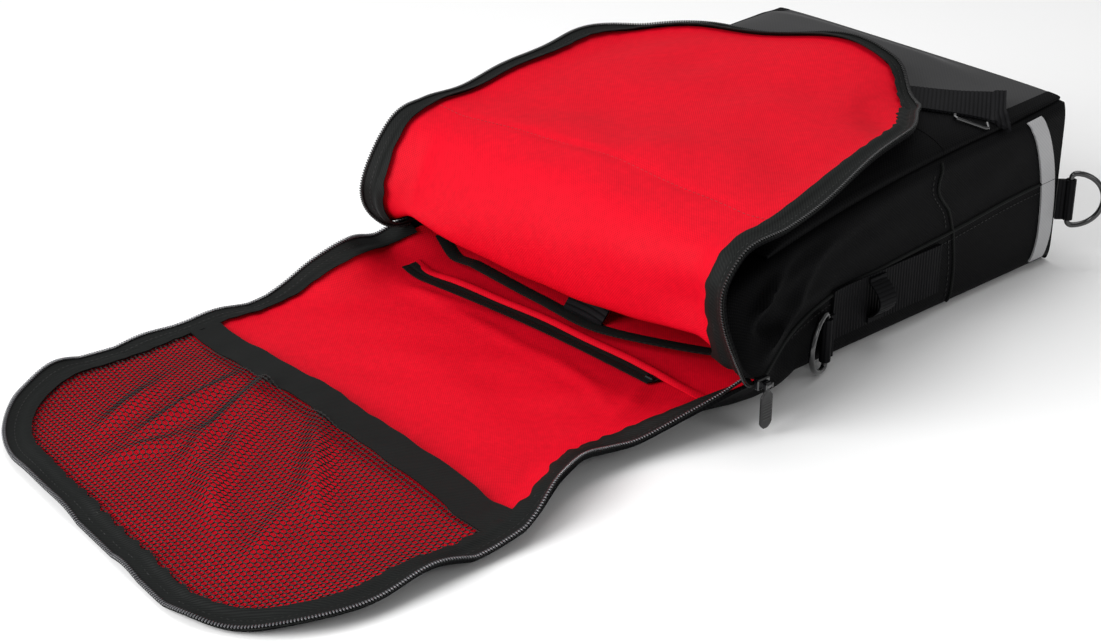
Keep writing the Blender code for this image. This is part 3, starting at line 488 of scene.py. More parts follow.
def back_half() -> HalfShell:
    """Shapes the half shell of the back panel and the flap that lies on the floor.

    Returns:
        The half shell.
    """
    knots = [row.along * BODY_LENGTH for row in BODY_ROWS]
    gussets = [body_gusset(index, front=False) for index in range(len(BODY_ROWS))]
    knots += [BODY_LENGTH + row.along * FLAP_LENGTH for row in BACK_ROWS]
    gussets += [row.gusset * FLAP_GUSSET for row in BACK_ROWS]
    middle = np.array([(0.0, BODY_LENGTH - along, SHELL_WALL) for along in knots])
    skews = np.radians([0.0] * len(BODY_ROWS) + [row.skew for row in BACK_ROWS])
    ways = np.stack([np.cos(skews), np.sin(skews), np.zeros_like(skews)], axis=-1)
    draws = np.array([0.0] * len(BODY_ROWS) + [row.near_draw for row in BACK_ROWS])
    corners = {1: middle + (PANEL_HALF - draws)[:, None] * ways, -1: middle - PANEL_HALF * ways}
    edges = {}
    for side in (1, -1):
        points = [seam_point(side, np.array(BODY_LENGTH), 1)]
        for index, row in enumerate(BACK_ROWS, len(BODY_ROWS)):
            turn = row.near_turn if side == 1 else row.far_turn
            way = edge_way(ways[index], UP, turn, side, row.gusset * FLAP_GUSSET)
            points.append(corners[side][index] + way)
        edges[side] = (np.array([BODY_LENGTH] + knots[len(BODY_ROWS):]), np.array(points))
    return HalfShell(knots, middle, corners, edges, gussets, 0.012, 1)


def front_half() -> HalfShell:
    """Shapes the half shell of the front and the flap that rolls back over it.

    Returns:
        The half shell. Its knots past the mouth are half way between the middle's and the edge's.
    """
    spots = []
    for row in BODY_ROWS:
        height = row.front_height * BODY_DEPTH - SHELL_WALL
        spots.append((0.0, BODY_LENGTH * (1 - row.along), height))
    for row in FOLD_ROWS:
        shift, height = row.shift * BODY_HALF_WIDTH, row.height * BODY_DEPTH
        spots.append((shift, BODY_LENGTH * (1 - row.along), height))
    spots = np.array(spots)
    middle, edges, corners = [], {1: [], -1: []}, {1: [], -1: []}
    for index, spot in enumerate(spots):
        body = index < len(BODY_ROWS)
        row = BODY_ROWS[index] if body else FOLD_ROWS[index - len(BODY_ROWS)]
        way = spots[min(index + 1, len(spots) - 1)] - spots[max(index - 1, 0)]
        skew = 0.0 if body else math.radians(row.skew)
        tilt = 0.0 if body else math.radians(row.tilt)
        across = np.array([math.cos(skew) * math.cos(tilt), math.sin(skew), math.sin(tilt)])
        across = across / np.linalg.norm(across)
        inward = np.cross(across, way)
        inward = inward / np.linalg.norm(inward)
        middle.append(spot + (row.front_belly if body else row.belly) * BODY_DEPTH * inward)
        for side in (1, -1):
            corners[side].append(spot + side * PANEL_HALF * across)
            if body:
                edges[side].append(seam_point(side, np.array(row.along * BODY_LENGTH), -1))
                continue
            turn = row.near_turn if side == 1 else row.far_turn
            way_out = edge_way(across, inward, turn, side, row.gusset * FLAP_GUSSET)
            edges[side].append(corners[side][-1] + way_out)
    knots = [row.along * BODY_LENGTH for row in BODY_ROWS]
    for index in range(len(BODY_ROWS), len(spots)):
        step = np.linalg.norm(spots[index] - spots[index - 1])
        edge_step = np.linalg.norm(edges[1][index] - edges[1][index - 1])
        knots.append(knots[-1] + float(step + edge_step) / 2)
    gussets = [body_gusset(index, front=True) for index in range(len(BODY_ROWS))]
    gussets += [row.gusset * FLAP_GUSSET for row in FOLD_ROWS]
    start = len(BODY_ROWS) - 1
    rails = {side: (np.array(knots[start:]), np.array(edges[side][start:])) for side in (1, -1)}
    sides = {side: np.array(corners[side]) for side in (1, -1)}
    return HalfShell(knots, np.array(middle), sides, rails, gussets, 0.007, -1)


def feed(tree: bpy.types.NodeTree, node: bpy.types.Node, links: dict) -> None:
    """Links or sets a node's inputs.

    Args:
        tree: The node's tree.
        node: The node.
        links: Output sockets or plain values, by input name or number.
    """
    for key, value in links.items():
        if isinstance(value, bpy.types.NodeSocket):
            tree.links.new(value, node.inputs[key])
        else:
            node.inputs[key].default_value = value


def add(tree: bpy.types.NodeTree, kind: str, links: dict | None = None, **settings) -> bpy.types.Node:
    """Adds a node with its settings, and links or sets its inputs.

    Args:
        tree: The node tree to add to.
        kind: The node's type name.
        links: Output sockets or plain values, by input name or number.
        settings: Properties of the node.

    Returns:
        The new node.
    """
    node = tree.nodes.new(kind)
    for key, value in settings.items():
        setattr(node, key, value)
    feed(tree, node, links or {})
    return node


def calc(tree: bpy.types.NodeTree, how: str, *values: Socket | float) -> Socket:
    """The result of a math node on one or two values."""
    return add(tree, "ShaderNodeMath", dict(enumerate(values)), operation=how).outputs[0]


def remap(tree: bpy.types.NodeTree, value: Socket, *bounds: float) -> Socket:
    """A value mapped from the range of the first two bounds to that of the last two."""
    return add(tree, "ShaderNodeMapRange", dict(enumerate((value, *bounds)))).outputs[0]


def noise(tree: bpy.types.NodeTree, size_mm: float, detail: float, roughness: float) -> Socket:
    """A noise in object coordinates, with features about so many millimetres wide."""
    place = add(tree, "ShaderNodeTexCoord").outputs["Object"]
    return add(tree, "ShaderNodeTexNoise", {"Vector": place, "Scale": 1000 / size_mm / 3,
                                            "Detail": detail, "Roughness": roughness}).outputs[0]


def bumps(tree: bpy.types.NodeTree, height: Socket, height_mm: float, strength: float) -> Socket:
    """Normals of a surface with bumps so many millimetres high."""
    return add(tree, "ShaderNodeBump", {"Height": height, "Distance": height_mm / 1000,
                                        "Strength": strength}).outputs[0]


def new_material(name: str) -> tuple[bpy.types.Material, bpy.types.NodeTree, bpy.types.Node]:
    """A new material, its node tree and its shader."""
    made = bpy.data.materials.new(name)
    made.use_nodes = True
    return made, made.node_tree, made.node_tree.nodes["Principled BSDF"]


def linear(code: str) -> tuple[float, float, float, float]:
    """Turns an sRGB hex colour such as #1A1A1C to linear red, green, blue and 1."""
    parts = [int(code[start:start + 2], 16) / 255 for start in (1, 3, 5)]
    parts = [part / 12.92 if part <= 0.04045 else ((part + 0.055) / 1.055) ** 2.4 for part in parts]
    return (*parts, 1.0)


class Weave(Enum):
    """How a cloth's threads cross."""

    PLAIN = "plain"
    BASKET = "basket"
    TWILL = "twill"
    RIB = "rib"


@dataclass(frozen=True)
class WovenCloth:
    """A woven cloth, read from the flat cloth coordinates of its piece."""

    name: str
    # The first colour is the threads' crowns; the second, darker one is painted shade between the threads.
    thread: str
    painted_gap_shade: str
    weave: Weave
    pitch_mm: float
    roughness: float
    bump_mm: float
    specular: float = 0.16
    mottle: float = 0.12
    mottle_mm: float = 4.0
    slot: str = ""

    def threads(self, tree: bpy.types.NodeTree) -> Socket:
        """Weaves the threads.

        Args:
            tree: The material's tree.

        Returns:
            The threads' height, from 0 between them to 1 on their crowns.
        """
        flat = add(tree, "ShaderNodeUVMap", uv_map="cloth").outputs[0]
        split = add(tree, "ShaderNodeSeparateXYZ", {0: flat}).outputs
        rate = math.pi * 1000 / self.pitch_mm
        over, down = (calc(tree, "MULTIPLY", split[axis], rate) for axis in (0, 1))
        if self.weave is Weave.RIB:
            return remap(tree, calc(tree, "ABSOLUTE", calc(tree, "SINE", down)), 0.0, 0.9, 0.0, 1.0)
        if self.weave is Weave.TWILL:
            wave = calc(tree, "SINE", calc(tree, "ADD", over, down))
        else:
            wave = calc(tree, "MULTIPLY", calc(tree, "SINE", over), calc(tree, "SINE", down))
        height = remap(tree, wave, -0.6, 0.6, 0.0, 1.0)
        if self.weave is Weave.BASKET:
            split_thread = calc(tree, "COSINE", calc(tree, "MULTIPLY", over, 2.0))
            fine = remap(tree, split_thread, -1.0, 1.0, 0.75, 1.0)
            height = calc(tree, "MULTIPLY", height, fine)
        return height

    def make(self) -> bpy.types.Material:
        """Builds the material: threads from the weave, painted darker between them as painted shade, with
        a mottled dye and a bump.

        Returns:
            The new material.
        """
        made, tree, shader = new_material(self.name)
        height = self.threads(tree)
        dye = remap(tree, noise(tree, self.mottle_mm, 5.0, 0.62), 0.25, 0.75,
                    1 - self.mottle, 1 + self.mottle)
        # Painted shade: by the threads' height, the colour goes from the crowns' colour to the darker
        # colour between the threads.
        blend = add(tree, "ShaderNodeMix", {0: height, 6: linear(self.painted_gap_shade), 7: linear(self.thread)},
                    data_type="RGBA").outputs[2]
        colour = add(tree, "ShaderNodeVectorMath", {0: blend, 3: dye}, operation="SCALE").outputs[0]
        feed(tree, shader, {
            "Base Color": colour,
            "Normal": bumps(tree, height, self.bump_mm, 0.8),
            "Roughness": self.roughness,
            "IOR": 1.45,
            "Specular IOR Level": self.specular,
        })
        return made


@dataclass(frozen=True)
class HardFinish:
    """A moulded, painted or spun hard surface, read from object coordinates."""

    name: str
    colour: str
    roughness: float
    coat: float = 0.0
    grain_mm: float = 0.8
    bump_mm: float = 0.03
    wear: float = 0.15
    slot: str = ""

    def make(self) -> bpy.types.Material:
        """Builds the material, with a fine grain in its colour, gloss and bump.

        Returns:
            The new material.
        """
        made, tree, shader = new_material(self.name)
        grain = noise(tree, self.grain_mm, 4.0, 0.6)
        share = remap(tree, grain, 0.3, 0.7, 1 - self.wear, 1 + self.wear)
        colour = add(tree, "ShaderNodeVectorMath", {0: linear(self.colour)[:3], 3: share},
                     operation="SCALE").outputs[0]
        feed(tree, shader, {
            "Base Color": colour,
            "Normal": bumps(tree, grain, self.bump_mm, 0.5),
            "Roughness": calc(tree, "MULTIPLY", share, self.roughness),
            "Coat Weight": self.coat,
            "Coat Roughness": 0.15,
        })
        return made


class Finishes:
    """Every finish of the backpack, each made once."""

    # Ballistic nylon: coarse basket weave of matt black filament, painted faintly grey on its crowns as a
    # painted highlight. In every woven cloth here the second colour is painted shade between the threads.
    nylon = WovenCloth("black_ballistic_nylon", "#131314", "#060607", Weave.BASKET, 1.3, 0.60, 0.22,
                       specular=0.06, mottle=0.20, mottle_mm=9.0, slot="black_nylon")
    # Lining: thin plain-woven dyed polyester, matt, with a faint speckle in the dye.
    lining = WovenCloth("red_polyester_lining", "#D60922", "#BE021A", Weave.PLAIN, 1.1, 0.62, 0.06,
                        specular=0.10, mottle=0.09, mottle_mm=2.2, slot="red_polyester")
    # Zip tape and binding: close twill of matt polyester, a little green and grey in its black.
    tape = WovenCloth("black_polyester_tape", "#191B1A", "#0E0F0F", Weave.TWILL, 1.2, 0.62, 0.06,
                      specular=0.13, mottle=0.12, mottle_mm=6.0, slot="black_tape")
    # Webbing: nylon with ribs across its length, its crowns catching the light.
    webbing = WovenCloth("black_nylon_webbing", "#141416", "#050506", Weave.RIB, 3.2, 0.50, 0.30,
                         specular=0.08, mottle=0.12, mottle_mm=5.0, slot="black_webbing")
    # Tarpaulin: polyester cloth coated with PVC, satin, its weave only just showing through.
    tarpaulin = WovenCloth("grey_pvc_tarpaulin", "#363637", "#2F2F30", Weave.PLAIN, 1.6, 0.46, 0.05,
                           specular=0.26, mottle=0.08, mottle_mm=14.0, slot="grey_tarpaulin")
    # Retroreflective tape: glass beads under a satin film, an even light grey.
    reflective = WovenCloth("retroreflective_tape", "#B2B2B3", "#A6A6A8", Weave.PLAIN, 1.4, 0.40, 0.03,
                            specular=0.45, mottle=0.04, mottle_mm=8.0, slot="reflective_tape")
    # Net: knitted black polyester thread.
    net = HardFinish("black_polyester_net", "#0A0707", 0.80, bump_mm=0.05, slot="black_mesh")
    # Coil: nylon 6 monofilament, smooth, so each turn glints; its black is painted a lighter grey as a
    # painted highlight for those glints.
    coil = HardFinish("black_nylon_coil", "#3C3C40", 0.12, coat=1.0, grain_mm=2.0,
                      bump_mm=0.01, slot="zip_coil")
    # The front flap's coil is turned under; the same nylon coil, painted darker and rougher as painted
    # shade, so it hardly glints.
    shaded_coil = HardFinish("dull_black_nylon_coil", "#101011", 0.42, grain_mm=2.0,
                           bump_mm=0.01, slot="zip_coil")
    # Sewing thread: bonded polyester.
    black_thread = HardFinish("black_sewing_thread", "#161616", 0.6, slot="black_webbing")
    red_thread = HardFinish("red_sewing_thread", "#A80A1C", 0.6, slot="red_polyester")
    # Enamelled zinc: black, glossy, thick at its edges.
    enamel = HardFinish("black_enamelled_zinc", "#101012", 0.16, coat=0.9, grain_mm=3.0, bump_mm=0.02,
                        slot="black_enamel")
    # Pull: black rubbery moulding, satin.
    rubber = HardFinish("black_moulded_rubber", "#0D0D0E", 0.42, grain_mm=1.2, slot="black_enamel")
    made: dict[str, bpy.types.Material] = {}

    @classmethod
    def of(cls, finish: WovenCloth | HardFinish) -> bpy.types.Material:
        """The material of a finish."""
        if finish.name not in cls.made:
            cls.made[finish.name] = finish.make()
        return cls.made[finish.name]


def put(name: str, mesh: bpy.types.Mesh, finish: WovenCloth | HardFinish, node: str = "",
        body: str = "backpack") -> bpy.types.Object:
    """Links a finished mesh as a piece of the backpack.

    Args:
        name: The piece's name.
        mesh: Its mesh, already in place.
        finish: What it is made of.
        node: The frame's node that it stands for, if any.
        body: The frame's body that it moves with.

    Returns:
        The new object.
    """
    mesh.materials.clear()
    mesh.materials.append(Finishes.of(finish))
    mesh.shade_smooth()
    mesh.set_sharp_from_angle(angle=math.radians(48))
    piece = bpy.data.objects.new(name, mesh)
    bpy.context.scene.collection.objects.link(piece)
    if node:
        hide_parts(node)
    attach(piece, body)
    log.info("%s: %d faces", name, len(mesh.polygons))
    return piece


def set_flat(mesh: bpy.types.Mesh, flat: np.ndarray) -> None:
    """Gives a mesh its flat cloth coordinates as the UV map named cloth.

    Args:
        mesh: The mesh.
        flat: The coordinates in metres, one pair for each point.
    """
    layer = mesh.uv_layers.new(name="cloth")
    corners = np.empty(len(mesh.loops), dtype=np.int32)
    mesh.loops.foreach_get("vertex_index", corners)
    layer.data.foreach_set("uv", np.ascontiguousarray(flat[corners], dtype=np.float32).ravel())


def wall_mesh(name: str, low: np.ndarray, high: np.ndarray, flat: np.ndarray) -> bpy.types.Mesh:
    """A closed wall of cloth between two grids of points.

    Args:
        name: The mesh's name.
        low: Rows of points of one face.
        high: Rows of points of the other face.
        flat: Flat cloth coordinates of the same rows.

    Returns:
        The mesh, its faces outwards.
    """
    rows, columns = low.shape[:2]
    count = rows * columns
    i, j = np.meshgrid(np.arange(rows - 1), np.arange(columns - 1), indexing="ij")
    a = (i * columns + j).ravel()
    top = np.stack([a, a + 1, a + columns + 1, a + columns], axis=1)
    bottom = np.stack([a, a + columns, a + columns + 1, a + 1], axis=1) + count
    ring = np.concatenate([
        np.arange(columns - 1),
        np.arange(rows - 1) * columns + columns - 1,
        (rows - 1) * columns + np.arange(columns - 1, 0, -1),
        np.arange(rows - 1, 0, -1) * columns,
    ])
    after = np.roll(ring, -1)
    rim = np.stack([after, ring, ring + count, after + count], axis=1)
    faces = np.concatenate([top, bottom, rim])
    m, n = rows // 2, columns // 2
    way = np.cross(high[m, n] - high[m, n - 1], high[m, n] - high[m - 1, n])
    if float(way @ (high[m, n] - low[m, n])) < 0:
        faces = faces[:, ::-1]
    mesh = bpy.data.meshes.new(name)
    points = np.concatenate([high.reshape(-1, 3), low.reshape(-1, 3)])
    mesh.from_pydata(points.tolist(), [], faces.tolist())
    mesh.update()
    set_flat(mesh, np.tile(flat.reshape(-1, 2), (2, 1)))
    return mesh


def tube_mesh(name: str, path: np.ndarray, radius: float, sides: int,
              closed: bool = False) -> bpy.types.Mesh:
    """A round tube along a path, capped where it is open.

    Args:
        name: The mesh's name.
        path: Points along its middle.
        radius: Its radius.
        sides: Faces round it.
        closed: Whether the path closes on itself.

    Returns:
        The mesh, its faces outwards.
    """
    count = len(path)
    ways = np.roll(path, -1, 0) - np.roll(path, 1, 0) if closed else np.gradient(path, axis=0)
    ways = ways / np.linalg.norm(ways, axis=1, keepdims=True)
    normal = UP
    if abs(float(normal @ ways[0])) > 0.9:
        normal = np.array([1.0, 0.0, 0.0])
    turns = np.arange(sides) * 2 * math.pi / sides
    rings = []
    for way, spot in zip(ways, path):
        normal = normal - way * float(normal @ way)
        normal = normal / np.linalg.norm(normal)
        across = np.cross(way, normal)
        rings.append(spot + radius * (np.cos(turns)[:, None] * across + np.sin(turns)[:, None] * normal))
    faces = []
    for i in range(count if closed else count - 1):
        for j in range(sides):
            a, b = i * sides + j, i * sides + (j + 1) % sides
            c, d = (a + sides) % (count * sides), (b + sides) % (count * sides)
            faces.append((a, b, d, c))
    if not closed:
        faces += [tuple(range(sides))[::-1], tuple(range((count - 1) * sides, count * sides))]
    mesh = bpy.data.meshes.new(name)
    mesh.from_pydata(np.concatenate(rings).tolist(), [], faces)
    work = bmesh.new()
    work.from_mesh(mesh)
    bmesh.ops.recalc_face_normals(work, faces=work.faces)
    work.to_mesh(mesh)
    work.free()
    runs = np.concatenate([[0.0], np.cumsum(np.linalg.norm(np.diff(path, axis=0), axis=1))])
    flat = np.stack([np.tile(turns * radius, count), np.repeat(runs, sides)], axis=1)
    set_flat(mesh, flat)
    return mesh


class Lay(Enum):
    """How a repeated bar lies on its path."""

    ACROSS = "across"
    ALONG = "along"


def new_group(name: str, source: str, numbers: dict[str, float]) -> bpy.types.NodeTree:
    """A Geometry Nodes tree with its inputs declared.

    Args:
        name: The tree's name.
        source: The name of its geometry input.
        numbers: Its number inputs and their usual values.

    Returns:
        The tree, with a geometry output and a material input too.
    """
    tree = bpy.data.node_groups.new(name, "GeometryNodeTree")
    face = tree.interface
    face.new_socket("Geometry", in_out="OUTPUT", socket_type="NodeSocketGeometry")
    face.new_socket(source, in_out="INPUT", socket_type="NodeSocketGeometry")
    for label, value in numbers.items():
        kind = "NodeSocketInt" if isinstance(value, int) else "NodeSocketFloat"
        face.new_socket(label, in_out="INPUT", socket_type=kind).default_value = value
    face.new_socket("Material", in_out="INPUT", socket_type="NodeSocketMaterial")
    return tree


def finish_group(tree: bpy.types.NodeTree, made: Socket) -> bpy.types.NodeTree:
    """Gives a tree's geometry its material and puts it out.

    Args:
        tree: The tree.
        made: The geometry.

    Returns:
        The finished tree.
    """
    material = add(tree, "NodeGroupInput").outputs["Material"]
    done = add(tree, "GeometryNodeSetMaterial", {"Geometry": made, "Material": material}).outputs[0]
    add(tree, "NodeGroupOutput", {0: done})
    return tree


def named(tree: bpy.types.NodeTree, label: str) -> Socket:
    """A vector stored on the geometry under a name."""
    return add(tree, "GeometryNodeInputNamedAttribute", {0: label}, data_type="FLOAT_VECTOR").outputs[0]


def repeat_tree(lay: Lay) -> bpy.types.NodeTree:
    """A Geometry Nodes tree that lays small round bars at an even pitch on a path.

    Args:
        lay: Whether the bars lie across the path or along it.

    Returns:
        The tree, with its pitch, length, radius, sides and material as named inputs.
    """
    usual = {"Pitch": 0.002, "Length": 0.004, "Radius": 0.001, "Sides": 6}
    tree = new_group(f"bars_{lay.value}", "Path", usual)
    given = add(tree, "NodeGroupInput").outputs
    curve = add(tree, "GeometryNodeMeshToCurve", {0: given["Path"]}).outputs[0]
    even = add(tree, "GeometryNodeResampleCurve", {"Curve": curve, "Length": given["Pitch"]},
               mode="LENGTH")
    ball = add(tree, "GeometryNodeMeshUVSphere", {"Segments": given["Sides"], "Rings": 6,
                                                  "Radius": given["Radius"]}).outputs[0]
    stretch = calc(tree, "MULTIPLY", calc(tree, "DIVIDE", given["Length"], given["Radius"]), 0.5)
    size = add(tree, "ShaderNodeCombineXYZ", {0: 1.0, 1: 1.0, 2: stretch}).outputs[0]
    bar = add(tree, "GeometryNodeTransform", {"Geometry": ball, "Scale": size}).outputs[0]
    main = named(tree, "over" if lay is Lay.ACROSS else "run")
    first = add(tree, "FunctionNodeAlignRotationToVector", {"Vector": main}, axis="Z").outputs[0]
    lift = named(tree, "lift")
    second = add(tree, "FunctionNodeAlignRotationToVector", {"Rotation": first, "Vector": lift},
                 axis="Y", pivot_axis="Z").outputs[0]
    laid = add(tree, "GeometryNodeInstanceOnPoints", {"Points": even.outputs[0], "Instance": bar,
                                                      "Rotation": second}).outputs[0]
    real = add(tree, "GeometryNodeRealizeInstances", {0: laid}).outputs[0]
    return finish_group(tree, real)


def net_tree() -> bpy.types.NodeTree:
    """A Geometry Nodes tree that knits a net over a sheet's flat coordinates.

    The net is the dual of a triangle grid, sheared so that its cells are regular and six-sided.

    Returns:
        The tree, with its cell, thread, width, length, middle and material as named inputs.
    """
    usual = {"Cell": 0.0035, "Thread": 0.0004, "Width": 0.3, "Length": 0.2, "Middle": 0.0}
    tree = new_group("knitted_net", "Sheet", usual)
    given = add(tree, "NodeGroupInput").outputs
    tall = calc(tree, "MULTIPLY", given["Cell"], 0.866)
    across = calc(tree, "DIVIDE", given["Width"], given["Cell"])
    down = calc(tree, "DIVIDE", given["Length"], tall)
    grid = add(tree, "GeometryNodeMeshGrid", {"Size X": given["Width"], "Size Y": given["Length"],
                                              "Vertices X": across, "Vertices Y": down}).outputs[0]
    split = add(tree, "GeometryNodeTriangulate", {0: grid}).outputs[0]
    cells = add(tree, "GeometryNodeDualMesh", {0: split}).outputs[0]
    here = add(tree, "GeometryNodeInputPosition").outputs[0]
    spot = add(tree, "ShaderNodeSeparateXYZ", {0: here}).outputs
    lean = calc(tree, "ADD", spot[0], calc(tree, "MULTIPLY", spot[1], 0.577))
    long = calc(tree, "ADD", spot[1], given["Middle"])
    flat = add(tree, "ShaderNodeCombineXYZ", {0: lean, 1: long}).outputs[0]
    read = add(tree, "GeometryNodeSampleUVSurface", {"Mesh": given["Sheet"], "Value": here,
                                                     "UV Map": named(tree, "cloth"), "Sample UV": flat},
               data_type="FLOAT_VECTOR")
    kept = add(tree, "GeometryNodeCaptureAttribute", {0: cells})
    kept.capture_items.new("BOOLEAN", "Inside")
    kept.capture_items.new("VECTOR", "Spot")
    feed(tree, kept, {1: read.outputs["Is Valid"], 2: read.outputs["Value"]})
    moved = add(tree, "GeometryNodeSetPosition", {"Geometry": kept.outputs[0],
                                                  "Position": kept.outputs[2]}).outputs[0]
    outside = add(tree, "FunctionNodeBooleanMath", {0: kept.outputs[1]}, operation="NOT").outputs[0]
    trimmed = add(tree, "GeometryNodeDeleteGeometry", {0: moved, 1: outside}, domain="POINT").outputs[0]
    lines = add(tree, "GeometryNodeMeshToCurve", {0: trimmed}).outputs[0]
    thread = add(tree, "GeometryNodeCurvePrimitiveCircle",
                 {"Resolution": 3, "Radius": given["Thread"]}).outputs[0]
    spun = add(tree, "GeometryNodeCurveToMesh", {"Curve": lines, "Profile Curve": thread}).outputs[0]
    return finish_group(tree, spun)


def grow(name: str, start: bpy.types.Mesh, tree: bpy.types.NodeTree, values: dict) -> bpy.types.Mesh:
    """Runs a Geometry Nodes tree on a mesh and returns the result as a plain mesh.

    Args:
        name: The result's name.
        start: The mesh that the tree is given.
        tree: The tree.
        values: The tree's input values by name.

    Returns:
        The grown mesh.
    """
    holder = bpy.data.objects.new(name, start)
    bpy.context.scene.collection.objects.link(holder)
    step = holder.modifiers.new("Grow", "NODES")
    step.node_group = tree
    sockets = {item.name: item.identifier for item in tree.interface.items_tree if item.in_out == "INPUT"}
    for label, value in values.items():
        step[sockets[label]] = value
    graph = bpy.context.evaluated_depsgraph_get()
    mesh = bpy.data.meshes.new_from_object(holder.evaluated_get(graph))
    mesh.name = name
    holder.modifiers.remove(step)
    bpy.data.objects.remove(holder)
    bpy.data.meshes.remove(start)
    return mesh


def path_mesh(name: str, half: HalfShell, across: np.ndarray, along: np.ndarray,
              above: Number) -> bpy.types.Mesh:
    """A bare line along the cloth that carries the ways its bars are laid by.

    Args:
        name: The mesh's name.
        half: The half shell that the line lies on.
        across: Places across the cloth.
        along: Places along the cloth.
        above: Heights above the cloth.

    Returns:
        A mesh of edges with the vectors run, over and lift at its points.
    """
    points = half.place(across, along, above)
    run = np.gradient(points, axis=0)
    run = run / np.linalg.norm(run, axis=1, keepdims=True)
    lift = half.normal(across, along)
    over = np.cross(lift, run)
    mesh = bpy.data.meshes.new(name)
    mesh.from_pydata(points.tolist(), [(i, i + 1) for i in range(len(points) - 1)], [])
    for label, data in (("run", run), ("over", over), ("lift", lift)):
        layer = mesh.attributes.new(label, "FLOAT_VECTOR", "POINT")
        layer.data.foreach_set("vector", np.ascontiguousarray(data, dtype=np.float32).ravel())
    return mesh


class Border:
    """The band round a flap's edge, from one slider to the other."""

    def __init__(self, half: HalfShell, start: float) -> None:
        """Measures the outline.

        Args:
            half: The half shell.
            start: Where the band starts along the cloth.
        """
        self.half, self.start = half, start
        self.straight = half.end - FLAP_CORNER - start
        self.quarter = math.pi / 2 * FLAP_CORNER
        self.end_half = float(half.full_half(np.array(half.end))) - FLAP_CORNER
        self.length = 2 * (self.straight + self.quarter + self.end_half)

    def at(self, run: np.ndarray, inset: np.ndarray) -> tuple[np.ndarray, np.ndarray]:
        """Flat cloth coordinates on the band.

        Args:
            run: Lengths along the outline, from the near slider.
            inset: Insets from the outline.

        Returns:
            Places across and along the cloth.
        """
        run, inset = np.broadcast_arrays(np.asarray(run, float), np.asarray(inset, float))
        side = np.where(run <= self.length / 2, 1.0, -1.0)
        near = np.minimum(run, self.length - run)
        radius = FLAP_CORNER - inset
        angle = np.clip((near - self.straight) / self.quarter, 0, 1) * math.pi / 2
        along = self.start + np.minimum(near, self.straight) + radius * np.sin(angle)
        wide = self.half.full_half(along) - FLAP_CORNER + radius * np.cos(angle)
        past = np.clip((near - self.straight - self.quarter) / self.end_half, 0, 1)
        return side * wide * (1 - past), along


def sheet_grid(half: HalfShell, inset: float, base_inset: float) -> tuple[np.ndarray, np.ndarray]:
    """Flat cloth coordinates of a whole half shell, less insets from its outline and base.

    Args:
        half: The half shell.
        inset: The inset from the flap's outline. The body's sides have the seam's own.
        base_inset: The inset from the base.

    Returns:
        Places across and along the cloth, in rows.
    """
    straight_end = half.end - FLAP_CORNER
    body = np.linspace(base_inset, BODY_LENGTH, SHEET_ROWS)
    flap = np.linspace(BODY_LENGTH, straight_end, SHEET_ROWS)[1:]
    angles = np.linspace(0, math.pi / 2, 26)[1:]
    corner = np.minimum(straight_end + FLAP_CORNER * np.sin(angles), half.end - inset)
    along = np.concatenate([body, flap, corner])
    near_mouth = ease_in((along - BODY_LENGTH + 0.030) / 0.028)
    inset_here = SEAM_INSET + (inset - SEAM_INSET) * near_mouth
    across = half.half_width(along, inset_here)[:, None] * np.linspace(-1, 1, SHEET_COLUMNS)[None, :]
    return across, np.broadcast_to(along[:, None], across.shape)


def lay(name: str, half: HalfShell, across: np.ndarray, along: np.ndarray, above: Number, wall: Number,
        finish: WovenCloth, node: str = "", flat: np.ndarray | None = None) -> bpy.types.Object:
    """Makes a piece of cloth that lies on a half shell.

    Args:
        name: The piece's name.
        half: The half shell.
        across: Places across the half shell, in rows.
        along: Places along it.
        above: Heights of the piece's first face on the lining's side.
        wall: From there to its second face, below zero outwards.
        finish: What it is made of.
        node: The frame's node that it stands for, if any.
        flat: Its own flat coordinates, where its threads don't follow the half shell's.

    Returns:
        The new object.
    """
    across, along, above = np.broadcast_arrays(across, along, above)
    low = half.place(across, along, above)
    high = half.place(across, along, above + wall)
    if flat is None:
        flat = np.stack([across, along], axis=-1)
    return put(name, wall_mesh(name, low, high, flat), finish, node)


# Folds and seams that every layer of a half shell shares, outwards below zero at the body.
BACK_FOLDS = (
    Crease(0.178, 0.345, 72.0, 0.030, 0.0065, -0.0030),
    Crease(0.166, 0.338, 90.0, 0.030, 0.0130, -0.0070),
    Crease(0.186, 0.322, 104.0, 0.026, 0.0060, 0.0030),
    Crease(0.166, 0.310, 84.0, 0.045, 0.0070, -0.0020),
    Crease(-0.178, 0.345, 108.0, 0.030, 0.0065, -0.0030),
)
FRONT_FOLDS = (
    Crease(0.172, 0.346, 66.0, 0.036, 0.0052, -0.0078),
    Crease(0.188, 0.348, 108.0, 0.026, 0.0056, 0.0072),
    Crease(0.202, 0.352, 82.0, 0.026, 0.0056, -0.0050),
    Crease(0.162, 0.316, 76.0, 0.042, 0.0060, 0.0042),
    Crease(0.186, 0.312, 58.0, 0.034, 0.0055, -0.0040),
    Crease(0.166, 0.290, 84.0, 0.060, 0.0080, -0.0032),
    Crease(0.196, 0.300, 96.0, 0.050, 0.0080, -0.0036),
    Crease(0.184, 0.240, 88.0, 0.060, 0.0110, -0.0020),
    Crease(0.180, 0.080, 80.0, 0.050, 0.0140, -0.0016),
    Crease(-0.176, 0.338, 118.0, 0.034, 0.0065, -0.0062),
    Crease(-0.190, 0.346, 62.0, 0.022, 0.0060, 0.0050),
    Crease(-0.196, 0.290, 84.0, 0.050, 0.0080, -0.0036),
    Crease(-0.184, 0.200, 92.0, 0.060, 0.0110, -0.0020),
)
EDGE_SWELL = Swell(21, 0.17, 0.05, 0.0030)
FRONT_SWELL = Swell(34, 0.20, 0.07, 0.0016)


def side_wall(half: HalfShell, across: np.ndarray) -> np.ndarray:
    """Share of a fold's height: none on the panel, all on the side walls."""
    return np.clip((np.abs(across) - half.half - 0.002) / 0.010, 0, 1)


